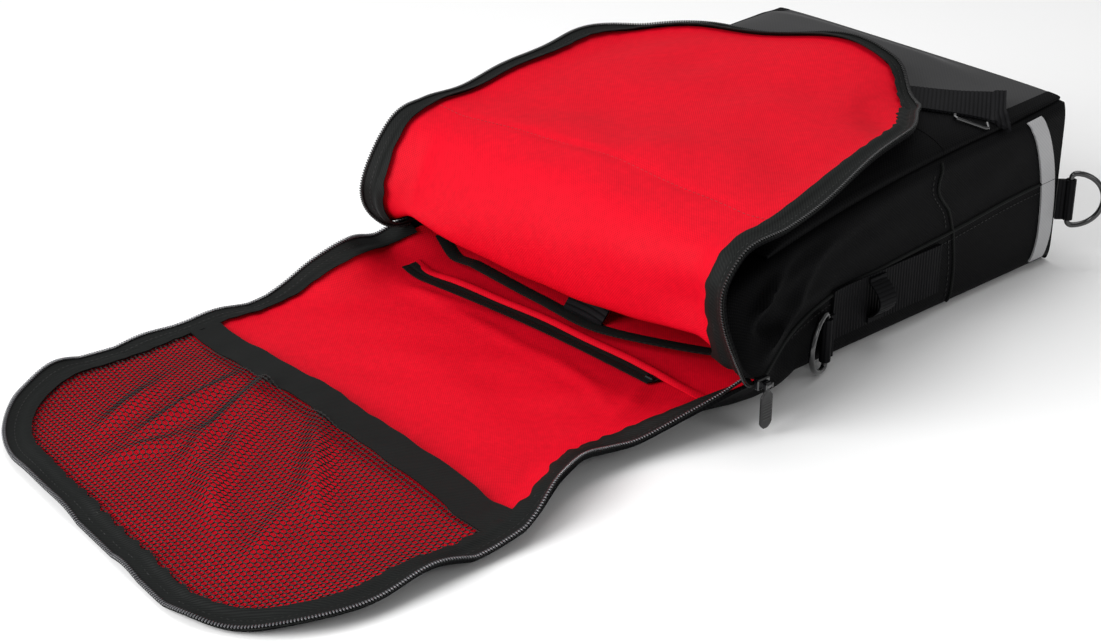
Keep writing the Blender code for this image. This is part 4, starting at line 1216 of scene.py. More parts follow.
def back_relief(half: HalfShell) -> Reading:
    """The back half shell's shared relief: side folds, and a flap edge that lifts unevenly.

    Args:
        half: The back half shell.

    Returns:
        A function from places across and along the cloth to heights.
    """

    def relief(across: np.ndarray, along: np.ndarray) -> np.ndarray:
        """Reads the relief: folds at the body, and a lifted edge past the mouth.

        Args:
            across: Places across the cloth.
            along: Places along the cloth.

        Returns:
            Heights in metres.
        """
        seam = ease_in((half.full_half(along) - np.abs(across)) / SEAM_FADE + (along > BODY_LENGTH))
        folds = creases(BACK_FOLDS, across, along) * side_wall(half, across) * seam
        past = np.clip((along - BODY_LENGTH - 0.05) / 0.10, 0, 1)
        near = np.clip(1 - (half.half_width(along) - np.abs(across)) / EDGE_BAND, 0, 1)
        end = np.clip(1 - (half.end - along) / EDGE_BAND, 0, 1)
        edge = np.maximum(near, end) ** 1.5
        return folds + past * edge * np.clip(EDGE_SWELL.at(across, along) + 0.0022, 0, 0.0065)

    return relief


def front_relief(half: HalfShell) -> Reading:
    """The front half shell's shared relief: side folds, and a soft swell in its flap.

    Args:
        half: The front half shell.

    Returns:
        A function from places across and along the cloth to heights.
    """

    def relief(across: np.ndarray, along: np.ndarray) -> np.ndarray:
        """Reads the relief: folds at the body, and a swell past the mouth.

        Args:
            across: Places across the cloth.
            along: Places along the cloth.

        Returns:
            Heights in metres.
        """
        body = np.clip((BODY_LENGTH + 0.004 - along) / 0.02, 0, 1)
        seam = ease_in((half.full_half(along) - np.abs(across)) / SEAM_FADE)
        folds = creases(FRONT_FOLDS, across, along) * side_wall(half, across) * body * seam
        past = np.clip((along - BODY_LENGTH - 0.03) / 0.10, 0, 1)
        return folds + past * FRONT_SWELL.at(across, along)

    return relief


def front_drape(across: np.ndarray, along: np.ndarray) -> np.ndarray:
    """How the front flap's end hangs: lifted in its middle, turned in at its near corner.

    Args:
        across: Places across the cloth.
        along: Places along the cloth.

    Returns:
        Shifts along X, Y and Z.
    """
    hump = np.exp(-(((across - 0.045) / 0.06) ** 2)) * ease_in((along - 0.68) / 0.11)
    corner = ease_in((across - 0.085) / 0.06) * ease_in((along - 0.66) / 0.07)
    lift = hump[..., None] * np.array((0.0, 0.011, 0.014))
    return lift + corner[..., None] * np.array((-0.012, -0.010, -0.006))


@dataclass
class Shells:
    """The two black half shells, their red linings and the base panel."""

    back: HalfShell
    front: HalfShell
    lining_inset: float = 0.0095
    lining_base_inset: float = 0.004
    lining_share: float = 0.985
    lining_wall: float = 0.0006
    lining_swell: Swell = field(default_factory=lambda: Swell(11, 0.16, 0.05, 0.0007))
    piping_radius: float = 0.0016
    base_edge: float = 0.0008
    base_roll: float = 0.0024

    def lining_relief(self, half: HalfShell, across: np.ndarray, along: np.ndarray) -> np.ndarray:
        """How far a lining stands off its shell: most in the open field, none at its edges.

        Args:
            half: The lining's half shell.
            across: Places across the cloth.
            along: Places along the cloth.

        Returns:
            Heights.
        """
        from_side = np.clip((half.half_width(along, TAPE_WIDTH) - np.abs(across)) / 0.05, 0, 1)
        from_end = np.clip((half.end - 0.02 - along) / 0.05, 0, 1)
        lift = self.lining_swell.at(across, along) + 0.0012
        if half.lining_side > 0:
            lift = lift + creases(BACK_LINING_CREASES, across, along)
        else:
            lift = lift + creases(FRONT_LINING_CREASES, across, along)
            stitched = np.exp(-(((along - flap_stitch_line(across)) / 0.0035) ** 2))
            lift = lift * (1 - 0.9 * stitched)
        return np.maximum(lift, 0.0) * from_side * from_end

    def build(self) -> None:
        """Makes the shells, linings, base panel and the piping of the side seams."""
        for label, half in (("back", self.back), ("front", self.front)):
            across, along = sheet_grid(half, 0.0, 0.0)
            piece = lay(f"{label}_shell_cloth", half, across, along, -SHELL_WALL, SHELL_WALL,
                        Finishes.nylon, f"{label}_shell")
            across, along = sheet_grid(half, self.lining_inset, self.lining_base_inset)
            across = across * np.where(along > BODY_LENGTH, 1.0, self.lining_share)
            above = LINING_EASE + self.lining_relief(half, across, along)
            piece = lay(f"{label}_lining_cloth", half, across, along, above, self.lining_wall,
                        Finishes.lining, f"{label}_lining")
        self.build_base()
        for side in Side:
            along = np.linspace(0.002, BODY_LENGTH - 0.002, 90)
            path = seam_point(side.value, along, 0)
            path[:, 0] += side.value * (SHELL_WALL + 0.0002)
            mesh = tube_mesh(f"side_piping_{side.word}", path, self.piping_radius, 8)
            put(f"side_piping_{side.word}", mesh, Finishes.tape)

    def build_base(self) -> None:
        """Makes the base panel: a slightly crowned plate with its edge rolled."""
        height = BODY_ROWS[0].front_height * BODY_DEPTH
        xs = np.sin(np.linspace(-math.pi / 2, math.pi / 2, 61)) * BODY_HALF_WIDTH
        zs = height / 2 + np.sin(np.linspace(-math.pi / 2, math.pi / 2, 31)) * height / 2
        x, z = np.meshgrid(xs, zs)
        over = np.abs(z / (height / 2) - 1) ** 8
        x = x * (1 - 0.022 * over)
        z = height / 2 + (z - height / 2) * (1 - 0.035 * np.abs(x / BODY_HALF_WIDTH) ** 10)
        edge = np.minimum(BODY_HALF_WIDTH - np.abs(x), height / 2 - np.abs(z - height / 2))
        turn = np.clip(edge / self.base_roll, 0, 1)
        roll = np.sqrt(turn * (2 - turn))
        y = BODY_LENGTH + CLEARANCE + self.base_edge + roll * (SHELL_WALL - self.base_edge)
        low = np.stack([x, np.full_like(x, BODY_LENGTH + CLEARANCE), z], axis=-1)
        mesh = wall_mesh("base_cloth", low, np.stack([x, y, z], axis=-1), np.stack([x, z], axis=-1))
        put("base_cloth", mesh, Finishes.nylon, "base_panel")


def flap_stitch_line(across: np.ndarray) -> np.ndarray:
    """Where the row of stitches runs along the front flap's lining."""
    return 0.5255 + 0.0022 * np.cos(across * 14)


BACK_LINING_CREASES = (
    Crease(0.150, 0.410, 62.0, 0.034, 0.006, 0.0030),
    Crease(0.128, 0.428, 48.0, 0.036, 0.007, 0.0022),
    Crease(-0.03, 0.425, 0.0, 0.150, 0.007, 0.0020),
    Crease(0.09, 0.432, 12.0, 0.050, 0.006, 0.0016),
    Crease(-0.10, 0.418, -14.0, 0.050, 0.006, 0.0020),
    Crease(0.02, 0.500, 8.0, 0.090, 0.022, 0.0022),
    Crease(-0.05, 0.560, -20.0, 0.080, 0.020, 0.0016),
)

FRONT_LINING_CREASES = (
    Crease(0.00, 0.560, 4.0, 0.120, 0.030, 0.0016),
    Crease(0.05, 0.500, 10.0, 0.110, 0.022, 0.0016),
    Crease(-0.06, 0.650, -8.0, 0.110, 0.030, 0.0014),
)


# Lines round the body's side wall, as places across and along each half shell.
FRONT_PIPING = ((0.1526, 0.148), (0.172, 0.1525), (0.194, 0.138), (0.2145, 0.130))
BACK_PIPING = ((0.1527, 0.127), (0.182, 0.1254), (0.2165, 0.130))
FRONT_STITCHES = ((0.15, 0.150), (0.172, 0.1525), (0.194, 0.138), (0.22, 0.130))
BACK_STITCHES = ((0.15, 0.127), (0.182, 0.1254), (0.22, 0.130))


@dataclass
class Seams:
    """The piped seam round the body at the pocket's split, and rows of stitches."""

    back: HalfShell
    front: HalfShell
    shells: Shells
    piping: float = 0.0013
    stitch: float = 0.0030
    gap: float = 0.0014
    out: float = -(SHELL_WALL + 0.0004)
    beside_piping: float = 0.006

    def stitch_row(self, name: str, half: HalfShell, across: np.ndarray, along: np.ndarray,
                   above: Number, finish: HardFinish, tree: bpy.types.NodeTree) -> None:
        """Makes one row of stitches along the cloth.

        Args:
            name: The row's name.
            half: The half shell it is sewn to.
            across: Places of its line across the cloth.
            along: Places of its line along the cloth.
            above: Height of its thread's middle.
            finish: Its thread.
            tree: The tree that lays the stitches.
        """
        values = {"Pitch": self.stitch + self.gap, "Length": self.stitch, "Radius": 0.00038, "Sides": 5,
                  "Material": Finishes.of(finish)}
        line = path_mesh(name, half, across, along, above)
        put(name, grow(name, line, tree, values), finish)

    def build(self) -> None:
        """Makes the piping and stitches of the body and the front flap's lining."""
        tree = repeat_tree(Lay.ALONG)
        for side in Side:
            s = side.value
            over = np.linspace(FRONT_PIPING[0][0], FRONT_PIPING[-1][0], 40)
            upper = self.front.place(s * over, through(FRONT_PIPING, over), self.out)
            over = np.linspace(BACK_PIPING[-1][0], 0.1540, 40)
            lower = self.back.place(s * over, through(BACK_PIPING, over), self.out)
            path = np.concatenate([upper, lower[1:]])
            name = f"body_seam_{side.word}"
            put(name, tube_mesh(name, path, self.piping, 8), Finishes.tape)
            for label, half, inner, outer, points in (
                ("upper", self.front, 0.160, 0.206, FRONT_STITCHES),
                ("lower", self.back, 0.158, 0.208, BACK_STITCHES),
            ):
                across = s * np.linspace(inner, outer, 60)
                line = through(points, np.abs(across)) + self.beside_piping
                self.stitch_row(f"body_stitches_{label}_{side.word}", half, across, line, self.out,
                                Finishes.black_thread, tree)
            row = np.linspace(0.006, 0.318, 300)
            level = s * (self.back.full_half(row) - 0.0065)
            self.stitch_row(f"side_stitches_low_{side.word}", self.back, level, row, self.out,
                            Finishes.black_thread, tree)
        across = np.linspace(-0.186, 0.186, 300)
        line = flap_stitch_line(across)
        seat = LINING_EASE + self.shells.lining_relief(self.front, across, line) + 0.0009
        self.stitch_row("flap_stitches", self.front, across, line, seat, Finishes.red_thread, tree)


@dataclass
class FlapZips:
    """The zip's tapes and coils round both flaps, with the tapes' gathered inner edges."""

    back: HalfShell
    front: HalfShell
    coil_pitch: float = 0.0021
    coil_length: float = 0.0034
    coil_radius: float = 0.00088
    gather: float = 0.0010
    gather_length: float = 0.019
    shell_seat: float = 0.0003
    stitch_insets: tuple[float, float] = (0.0055, 0.0115)
    from_mouth: float = 0.010
    wall: float = 0.0008

    def build(self) -> None:
        """Makes both tapes, both coils and their stitches."""
        teeth = repeat_tree(Lay.ACROSS)
        stitches = repeat_tree(Lay.ALONG)
        for label, half, ease in (("back", self.back, 0.0008), ("front", self.front, 0.0019)):
            border = Border(half, BODY_LENGTH + self.from_mouth)
            self.build_tape(label, border, ease)
            self.build_coil(label, border, ease, teeth)
            self.build_stitches(label, border, ease, stitches)

    def tape_reach(self, border: Border, run: np.ndarray) -> np.ndarray:
        """How far a tape reaches in: the front flap's is wider beside the mouth.

        Args:
            border: The band that the tape follows.
            run: Lengths along it.

        Returns:
            Insets of its inner edge from the outline.
        """
        if border.half.lining_side > 0:
            return 0.0165 + 0.0022 * np.sin(run * 9.0 + 0.5)
        near = np.minimum(run, border.length - run)
        return 0.0155 + 0.0075 * np.clip(1 - near / 0.10, 0, 1)

    def seat(self, border: Border, run: np.ndarray, inset: np.ndarray, ease: float) -> np.ndarray:
        """Height of a tape's underside over its shell.

        Args:
            border: The band that the tape follows.
            run: Lengths along it.
            inset: Insets from the outline.
            ease: The gap between the lining and the tape.

        Returns:
            Heights: over the lining inside, on the shell at the edge, and level at the sliders.
        """
        slider = 1 - np.minimum(run, border.length - run) / 0.030
        share = np.maximum(ease_in((inset - 0.0080) / 0.0050), ease_in(slider))
        rise = LINING_EASE + LINING_WALL + ease - self.shell_seat
        return self.shell_seat + rise * share

    def build_tape(self, label: str, border: Border, ease: float) -> None:
        """Makes one flap's tape, its inner edge gathered.

        Args:
            label: The flap's name.
            border: The band that it follows.
            ease: The gap between the lining and the tape.
        """
        run = np.linspace(0.0, border.length, 480)
        chance = np.random.default_rng(5 if border.half.lining_side > 0 else 9)
        turns = 2 * math.pi * run / self.gather_length + 1.6 * np.sin(run * 23.0 + chance.uniform(0, 6))
        size = 0.55 + 0.45 * np.sin(run * 17.0 + chance.uniform(0, 6))
        wave = (size * (np.sin(turns) + 0.45 * np.sin(1.7 * turns + 1.0)))[:, None]
        share = np.linspace(0, 1, 12)[None, :]
        inner = self.tape_reach(border, run)[:, None] + self.gather * wave
        inset = inner + (-TAPE_OVERHANG - inner) * share
        across, along = border.at(run[:, None], inset)
        pucker = 0.0010 * (1 - share) + 0.0005 * (1 + wave) * (1 - share) ** 1.5
        above = self.seat(border, run[:, None], inset, ease) + pucker
        lay(f"{label}_tape_cloth", border.half, across, along, above, self.wall,
            Finishes.tape, f"{label}_zip_tape")

    def line(self, name: str, border: Border, inset: float, ease: float, lift: float) -> bpy.types.Mesh:
        """A line along a tape.

        Args:
            name: The line's name.
            border: The band that the tape follows.
            inset: The line's inset from the outline.
            ease: The gap between the lining and the tape.
            lift: The line's height over the tape's underside.

        Returns:
            A mesh of edges.
        """
        run = np.linspace(0.001, border.length - 0.001, 700)
        insets = np.full_like(run, inset)
        across, along = border.at(run, insets)
        above = self.seat(border, run, insets, ease) + lift
        return path_mesh(name, border.half, across, along, above)

    def build_coil(self, label: str, border: Border, ease: float, tree: bpy.types.NodeTree) -> None:
        """Makes one flap's coil, turn by turn.

        Args:
            label: The flap's name.
            border: The band that it follows.
            ease: The gap between the lining and the tape.
            tree: The tree that lays the turns.
        """
        # The front flap's coil takes the darker copy of the coil's finish, painted shade; the back flap's
        # takes the lighter one, painted highlight.
        finish = Finishes.coil if border.half.lining_side > 0 else Finishes.shaded_coil
        line = self.line("coil_path", border, CHAIN_WIDTH / 2 - TAPE_OVERHANG - 0.0012, ease, 0.0018)
        values = {"Pitch": self.coil_pitch, "Length": self.coil_length, "Radius": self.coil_radius,
                  "Sides": 8, "Material": Finishes.of(finish)}
        put(f"{label}_coil", grow(f"{label}_coil", line, tree, values), finish, f"{label}_zip_chain")

    def build_stitches(self, label: str, border: Border, ease: float, tree: bpy.types.NodeTree) -> None:
        """Makes the rows of stitches along one flap's tape.

        Args:
            label: The flap's name.
            border: The band that they follow.
            ease: The gap between the lining and the tape.
            tree: The tree that lays the stitches.
        """
        values = {"Pitch": 0.0042, "Length": 0.0030, "Radius": 0.00035, "Sides": 5,
                  "Material": Finishes.of(Finishes.black_thread)}
        for order, inset in enumerate(self.stitch_insets):
            name = f"{label}_tape_stitches_{order}"
            line = self.line("stitches", border, inset, ease, 0.0012)
            put(name, grow(name, line, tree, values), Finishes.black_thread)


@dataclass
class InnerPockets:
    """The net pocket with its top band, and the zip pocket before the mouth."""

    back: HalfShell
    net_length: float = 0.185
    rise: float = 0.010
    band: float = 0.027
    cell: float = 0.0043
    thread: float = 0.00054
    inset: float = 0.0135
    zip_from_mouth: float = 0.009
    zip_width: float = 0.014
    welt_width: float = 0.0080
    welt_overlap: float = 0.0052

    def arch(self, across: np.ndarray, along: np.ndarray) -> np.ndarray:
        """Height of the net over the cloth: arched at its mouth, sewn down at its edges.

        Args:
            across: Places across the cloth.
            along: Places along the cloth.

        Returns:
            Heights.
        """
        wide = self.back.half_width(along, self.inset)
        over = 1 - np.clip(np.abs(across) / wide, 0, 1) ** 2
        left = np.clip((self.back.end - self.inset - along) / (self.net_length - self.inset), 0, 1)
        return LINING_EASE + LINING_WALL + 2 * CLEARANCE + self.rise * over * left

    def slack(self, across: np.ndarray, along: np.ndarray) -> np.ndarray:
        """Soft diagonal folds where the net hangs slack.

        Args:
            across: Places across the cloth.
            along: Places along the cloth.

        Returns:
            Heights over the arch.
        """
        wide = self.back.half_width(along, self.inset)
        inside = np.clip(1 - np.clip(np.abs(across) / wide, 0, 1) ** 4, 0, 1)
        left = np.clip((self.back.end - self.inset - along) / 0.06, 0, 1)
        return creases(NET_CREASES, across, along) * inside * left

    def build(self) -> None:
        """Makes the net, its band, the pocket's zip and its welt."""
        self.build_net()
        self.build_band()
        self.build_pocket_zip()

    def build_net(self) -> None:
        """Knits the net over the lining, from its mouth to the flap's rounded end."""
        straight_end = self.back.end - FLAP_CORNER
        angles = np.linspace(0, math.pi / 2, 36)[1:]
        along = np.concatenate([
            np.linspace(self.back.end - self.net_length, straight_end, 50),
            straight_end + (FLAP_CORNER - self.inset) * np.sin(angles),
        ])
        across = self.back.half_width(along, self.inset)[:, None] * np.linspace(-1, 1, 121)[None, :]
        along = np.broadcast_to(along[:, None], across.shape)
        above = self.arch(across, along) + self.slack(across, along) + 0.0004
        points = self.back.place(across, along, above)
        rows, columns = across.shape
        i, j = np.meshgrid(np.arange(rows - 1), np.arange(columns - 1), indexing="ij")
        a = (i * columns + j).ravel()
        faces = np.stack([a, a + columns, a + columns + 1, a + 1], axis=1)
        sheet = bpy.data.meshes.new("net_sheet")
        sheet.from_pydata(points.reshape(-1, 3).tolist(), [], faces.tolist())
        set_flat(sheet, np.stack([across, along], axis=-1).reshape(-1, 2))
        values = {"Cell": self.cell, "Thread": self.thread, "Width": 0.56, "Length": 0.22,
                  "Middle": float(self.back.end) - 0.11, "Material": Finishes.of(Finishes.net)}
        put("net", grow("net", sheet, net_tree(), values), Finishes.net, "mesh_pocket")

    def build_band(self) -> None:
        """Makes the gathered tape that binds the net's mouth."""
        end = self.back.end - self.net_length - CLEARANCE
        run = np.linspace(end - self.band, end, 12)
        across = self.back.half_width(run, self.inset)[:, None] * np.linspace(-1, 1, 141)[None, :]
        along = run[:, None] + 0.0009 * np.sin(across * 47) + 0.0007 * np.sin(across * 83 + 1)
        gathers = 0.0004 * np.sin(across * 210 + 2 * np.sin(across * 31))
        above = self.arch(across, along) + gathers + 0.0007
        lay("net_band", self.back, across, along, above, 0.0011, Finishes.tape, "mesh_band")

    def build_pocket_zip(self) -> None:
        """Makes the flat zip of the inner pocket and the lining's fold over it."""
        first = BODY_LENGTH + self.zip_from_mouth
        lift = LINING_EASE + LINING_WALL + CLEARANCE + 0.0016
        share = np.linspace(0, 1, 13)[:, None]
        across = np.linspace(-0.166, 0.104, 110)[None, :] + np.zeros_like(share)
        along = first + self.zip_width * share + self.slant(across)
        groove = -0.0006 * np.exp(-(((share - 0.5) / 0.07) ** 2))
        above = lift + groove + self.sway(across)
        lay("pocket_zip_tape", self.back, across, along, above, 0.0009, Finishes.tape, "pocket_zip")

        share = np.linspace(0, 1, 9)[:, None]
        start, end = -0.168, 0.142
        across = np.linspace(start, end, 120)[None, :] + np.zeros_like(share)
        ripple = 0.0006 * np.sin(across * 70)
        along = first - self.welt_overlap + self.welt_width * share + ripple + self.slant(across)
        fade = np.clip(np.minimum(across - start, end - across) / 0.045, 0.03, 1) ** 0.7
        round_part = np.sin(math.pi * np.clip(share, 0.02, 0.98)) ** 0.7
        bulge = 0.0022 * round_part * fade - 0.0020 * (1 - fade)
        above = lift + 0.0009 + bulge + self.sway(across)
        lay("pocket_zip_welt", self.back, across, along, above, 0.0007, Finishes.lining)

    def slant(self, across: np.ndarray) -> np.ndarray:
        """How far the zip pocket's line leans to the flap's end towards the far side."""
        share = np.clip((0.105 - across) / 0.275, -0.1, 1.2)
        return 0.003 * share + 0.015 * share * np.abs(share)

    def sway(self, across: np.ndarray) -> np.ndarray:
        """The shared rise of the zip pocket's edge over the flap."""
        return 0.0006 + 0.0008 * np.cos(across * 19 + 0.6)


NET_CREASES = (
    Crease(-0.050, 0.648, 64.0, 0.060, 0.0085, 0.0085),
    Crease(-0.082, 0.668, 78.0, 0.050, 0.0080, 0.0080),
    Crease(-0.112, 0.700, 66.0, 0.042, 0.0090, 0.0070),
    Crease(-0.015, 0.668, 48.0, 0.062, 0.0090, 0.0070),
    Crease(0.035, 0.640, 40.0, 0.062, 0.0090, 0.0065),
    Crease(0.072, 0.662, 34.0, 0.052, 0.0080, 0.0060),
    Crease(0.015, 0.712, 24.0, 0.064, 0.0090, 0.0065),
    Crease(-0.055, 0.728, 104.0, 0.036, 0.0085, 0.0055),
    Crease(0.090, 0.712, 58.0, 0.040, 0.0080, 0.0045),
)


# Where the sleeve's open edge runs, as places across and along the back half shell.
SLEEVE_EDGE = (
    (-0.19, 0.362), (-0.12, 0.366), (-0.04, 0.369), (0.03, 0.368),
    (0.07, 0.352), (0.10, 0.337), (0.125, 0.322), (0.19, 0.306),
)


@dataclass
class Sleeve:
    """The sleeve inside the mouth, its bound edge and the strap over it."""

    back: HalfShell
    start: float = 0.024
    rise: float = 0.009
    gusset: float = 0.028
    binding: float = 0.011
    strap_width: float = 0.041
    strap_length: float = 0.060
    strap_rise: float = 0.030

    def height(self, across: np.ndarray) -> np.ndarray:
        """Height of the sleeve over the cloth."""
        wide = self.back.half + self.gusset
        share = np.clip((wide - np.abs(across)) / (2 * self.gusset), 0, 1)
        return LINING_EASE + LINING_WALL + SEAM_GAP + self.rise * share

    def build(self) -> None:
        """Makes the sleeve, its binding and the strap, each from a grid of shares."""
        wide = (self.back.half + self.gusset) * np.linspace(-1, 1, 101)[None, :]
        share = np.linspace(0, 1, 60)[:, None]
        across = wide + np.zeros_like(share)
        along = self.start + (through(SLEEVE_EDGE, across) - self.start) * share
        piece = lay("sleeve_cloth", self.back, across, along, self.height(across), 0.0009,
                    Finishes.lining, "sleeve")

        share = np.linspace(0, 1, 8)[:, None]
        across = wide + np.zeros_like(share)
        along = through(SLEEVE_EDGE, across) + CLEARANCE + self.binding * share
        above = self.height(across) - 0.0002 + 0.0006 * np.sin(math.pi * share)
        lay("sleeve_binding_tape", self.back, across, along, above, 0.0014,
            Finishes.tape, "sleeve_binding")

        back = np.linspace(1.0, 0.0, 40)[:, None]
        across = 0.004 + np.linspace(-0.5, 0.5, 12)[None, :] * self.strap_width + np.zeros_like(back)
        along = through(SLEEVE_EDGE, across) + 0.003 - self.strap_length * back**1.6
        above = self.height(across) + 0.0016 + CLEARANCE + self.strap_rise * ease_in(back * 1.25)
        lay("sleeve_webbing", self.back, across, along, above, WEBBING_WALL,
            Finishes.webbing, "sleeve_strap")


@dataclass
class FrontPocket:
    """The puffed front pocket: grey tarpaulin at the base and black nylon past it."""

    front: HalfShell
    puff: float = 0.022
    crown: float = 0.0095
    panel_edge: float = 0.93
    panel_slant: float = 0.33
    end: float = 0.335
    split: float = 0.142
    wall: float = 0.0020
    inset: float = 0.004

    def rise(self, across: np.ndarray, along: np.ndarray) -> np.ndarray:
        """How far the pocket's inner side stands out from the front shell.

        Args:
            across: Places across the front half shell.
            along: Places along it.

        Returns:
            Heights, fullest over the far half beside the base.
        """
        knots = [row.along * self.end for row in PUFF_ROWS]
        rises = np.array([row.rise * self.puff for row in PUFF_ROWS])
        share = np.clip(np.abs(across) / (self.front.half - self.inset), 0, 1)
        beside_base = ease_in(along / 0.030) * (1 - ease_in((along - 0.050) / 0.100))
        crown = self.crown * beside_base * (1 - ease_in((across - 0.02) / 0.09))
        return 0.0004 + (smooth(knots, rises, along) + crown) * np.sqrt(1 - share**4)

    def tray(self, name: str, along: np.ndarray, finish: WovenCloth, node: str,
             start: Number = -1.0, end: Number = 1.0, wall: float = 0.0020) -> None:
        """Makes one of the pocket's cloths.

        Args:
            name: The piece's name.
            along: Its rows along the cloth.
            finish: What it is made of.
            node: The frame's node that it stands for.
            start: Where it starts, from -1 at the far side to 1 at the near side, in all or by row.
            end: Where it ends.
            wall: Its thickness.
        """
        first = np.arcsin(np.broadcast_to(np.asarray(start, float), along.shape))
        last = np.arcsin(np.broadcast_to(np.asarray(end, float), along.shape))
        count = max(24, int(121 * float((last - first).mean()) / math.pi))
        turns = first[:, None] + (last - first)[:, None] * np.linspace(0, 1, count)
        across = (self.front.half - self.inset) * np.sin(turns)
        long = np.broadcast_to(along[:, None], across.shape)
        above = -(SHELL_WALL + CLEARANCE + self.rise(across, long))
        lay(name, self.front, across, long, above, -wall, finish, node)

    def build(self) -> None:
        """Makes the tarpaulin, the black cloth at its sides and the black pocket past it."""
        rows = np.linspace(CLEARANCE, self.split, 60)
        far, near = -self.panel_edge, self.panel_edge - self.panel_slant * ease_in((rows - 0.060) / 0.080)
        self.tray("tarpaulin_cloth", rows, Finishes.tarpaulin, "tarpaulin_panel", far, near)
        spans = {"pocket_side_near": (near - 0.004, 1.0), "pocket_side_far": (-1.0, far + 0.005)}
        for name, (start, end) in spans.items():
            self.tray(name, rows, Finishes.nylon, "tarpaulin_panel", start, end, 0.0023)
        rows = np.linspace(self.split + CLEARANCE, 0.985 * self.end, 70)
        self.tray("front_pocket_cloth", rows, Finishes.nylon, "front_pocket")


@dataclass
class Webbings:
    """The side webbing, lamp loops, reflective strips and the front strap."""

    back: HalfShell
    front: HalfShell
    pocket: FrontPocket
    webbing_start: float = 0.145
    loop_along: float = 0.2195
    loop_width: float = 0.018
    loop_rise: float = 0.011
    reflector_width: float = 0.0168
    strap_length: float = 0.098
    strap_heading: float = 37.0
    strap_end_inset: float = 0.0227
    strap_end_along: float = 0.046

    def build(self) -> None:
        """Makes every piece of webbing and trim on both sides."""
        for side in Side:
            self.side_webbing(side)
            self.lamp_loop(side)
            self.reflector(side)
        self.front_strap()

    def side_webbing(self, side: Side) -> None:
        """Makes the ribbed tape along the lower half of one side.

        Args:
            side: Which side it is on.
        """
        low = self.back.half + WEBBING_ABOVE_FLOOR
        across = side.value * (low + WEBBING_WIDTH * np.linspace(0, 1, 24))[None, :]
        along = np.linspace(self.webbing_start, WEBBING_END, 150)[:, None]
        seat = SHELL_WALL + 0.0004
        face = SHELL_WALL + LINING_EASE + ribs(along) + 0.0014
        name = f"side_webbing_{side.word}"
        lay(f"{name}_tape", self.back, across, along, -seat, seat - face, Finishes.webbing, name)

    def lamp_loop(self, side: Side) -> None:
        """Makes the band over the side webbing that a lamp clips to.

        Args:
            side: Which side it is on.
        """
        low = self.back.half + WEBBING_ABOVE_FLOOR + 0.002
        high = low + WEBBING_WIDTH - 0.004
        bent = np.linspace(0.0, 1.0, 45)
        bow = low + 0.004 + (high - low - 0.008) * bent
        run = np.concatenate([[low, low + 0.002], bow, [high - 0.002, high]])
        rise = np.concatenate([[0.0, 0.0], self.loop_rise * np.sin(math.pi * bent) ** 0.8, [0.0, 0.0]])
        across = side.value * run[:, None]
        along = self.loop_along + self.loop_width * np.linspace(-0.5, 0.5, 14)[None, :]
        seat = SHELL_WALL + LINING_EASE + WEBBING_WALL + CLEARANCE
        length = np.cumsum(np.concatenate([[0], np.hypot(np.diff(run), np.diff(rise))]))
        flat = np.stack(np.broadcast_arrays(along, length[:, None]), axis=-1)
        name = f"light_loop_{side.word}"
        lay(f"{name}_band", self.back, across, along, -(seat + rise[:, None]), -0.0016,
            Finishes.webbing, name, flat)

    def reflector(self, side: Side) -> None:
        """Makes the curved reflective strip down one side, beside the base.

        Args:
            side: Which side it is on.
        """
        top = self.front.half + 2 * CLEARANCE
        foot = self.back.half + self.back.bend / 2
        upper = np.linspace(top, float(self.front.full_half(np.array(0.0))) - CLEARANCE, 30)
        lower = np.linspace(float(self.back.full_half(np.array(0.0))) - CLEARANCE, foot, 26)
        length = upper[-1] - upper[0] + lower[0] - lower[-1]
        climb = np.concatenate([length - (upper - top), lower - foot]) / length
        bow = 0.027 * np.clip((climb - 0.2) / 0.8, 0, 1) ** 2.5
        bow += 0.007 * np.clip(1 - climb / 0.2, 0, 1) ** 2
        along = 0.0112 + bow[:, None] + self.reflector_width * np.linspace(-0.5, 0.5, 9)[None, :]
        sides = []
        for above in (-(SHELL_WALL + 0.0002), -(SHELL_WALL + LINING_EASE + 0.0008)):
            over = self.front.place(side.value * upper[:, None], along[:30], above)
            under = self.back.place(side.value * lower[:, None], along[30:], above)
            sides.append(np.concatenate([over, under]))
        flat = np.stack(np.broadcast_arrays(along, climb[:, None] * length), axis=-1)
        name = f"reflective_strip_{side.word}"
        put(f"{name}_tape", wall_mesh(f"{name}_tape", *sides, flat), Finishes.reflective, name)

    def front_strap(self) -> None:
        """Makes the webbing strap over the panel's near corner and its hem, and gives its hook the black
        enamel finish as painted shade.
        """
        share = np.linspace(0.0, 1.0, 90)[:, None]
        over = np.linspace(0.0, 1.0, 24)[None, :]
        upper = 0.0008 + 0.0077 * share**1.5
        lower = 0.0008 + 0.0006 * share
        lift = upper + (lower - upper) * over
        heading = math.radians(self.strap_heading)
        left = self.strap_length * (1 - share)
        wide = (WEBBING_WIDTH - 0.005 * share**2) * over
        end = BODY_HALF_WIDTH - self.strap_end_inset
        across = end - left * math.cos(heading) + wide * math.sin(heading)
        along = self.strap_end_along + left * math.sin(heading) + wide * math.cos(heading)
        seat = SHELL_WALL + 2 * CLEARANCE + self.pocket.wall + self.pocket.rise(across, along)
        run = share * self.strap_length
        wall = 0.0016 + ribs(run) + 0.0012 * (share > 0.9)
        flat = np.stack(np.broadcast_arrays(over * WEBBING_WIDTH, run), axis=-1)
        lay("front_strap_webbing", self.front, across, along, -(seat + lift), -wall,
            Finishes.webbing, "front_strap", flat)
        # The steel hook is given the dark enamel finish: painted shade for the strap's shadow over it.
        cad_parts["strap_hook"].material_slots[0].material = Finishes.of(Finishes.enamel)


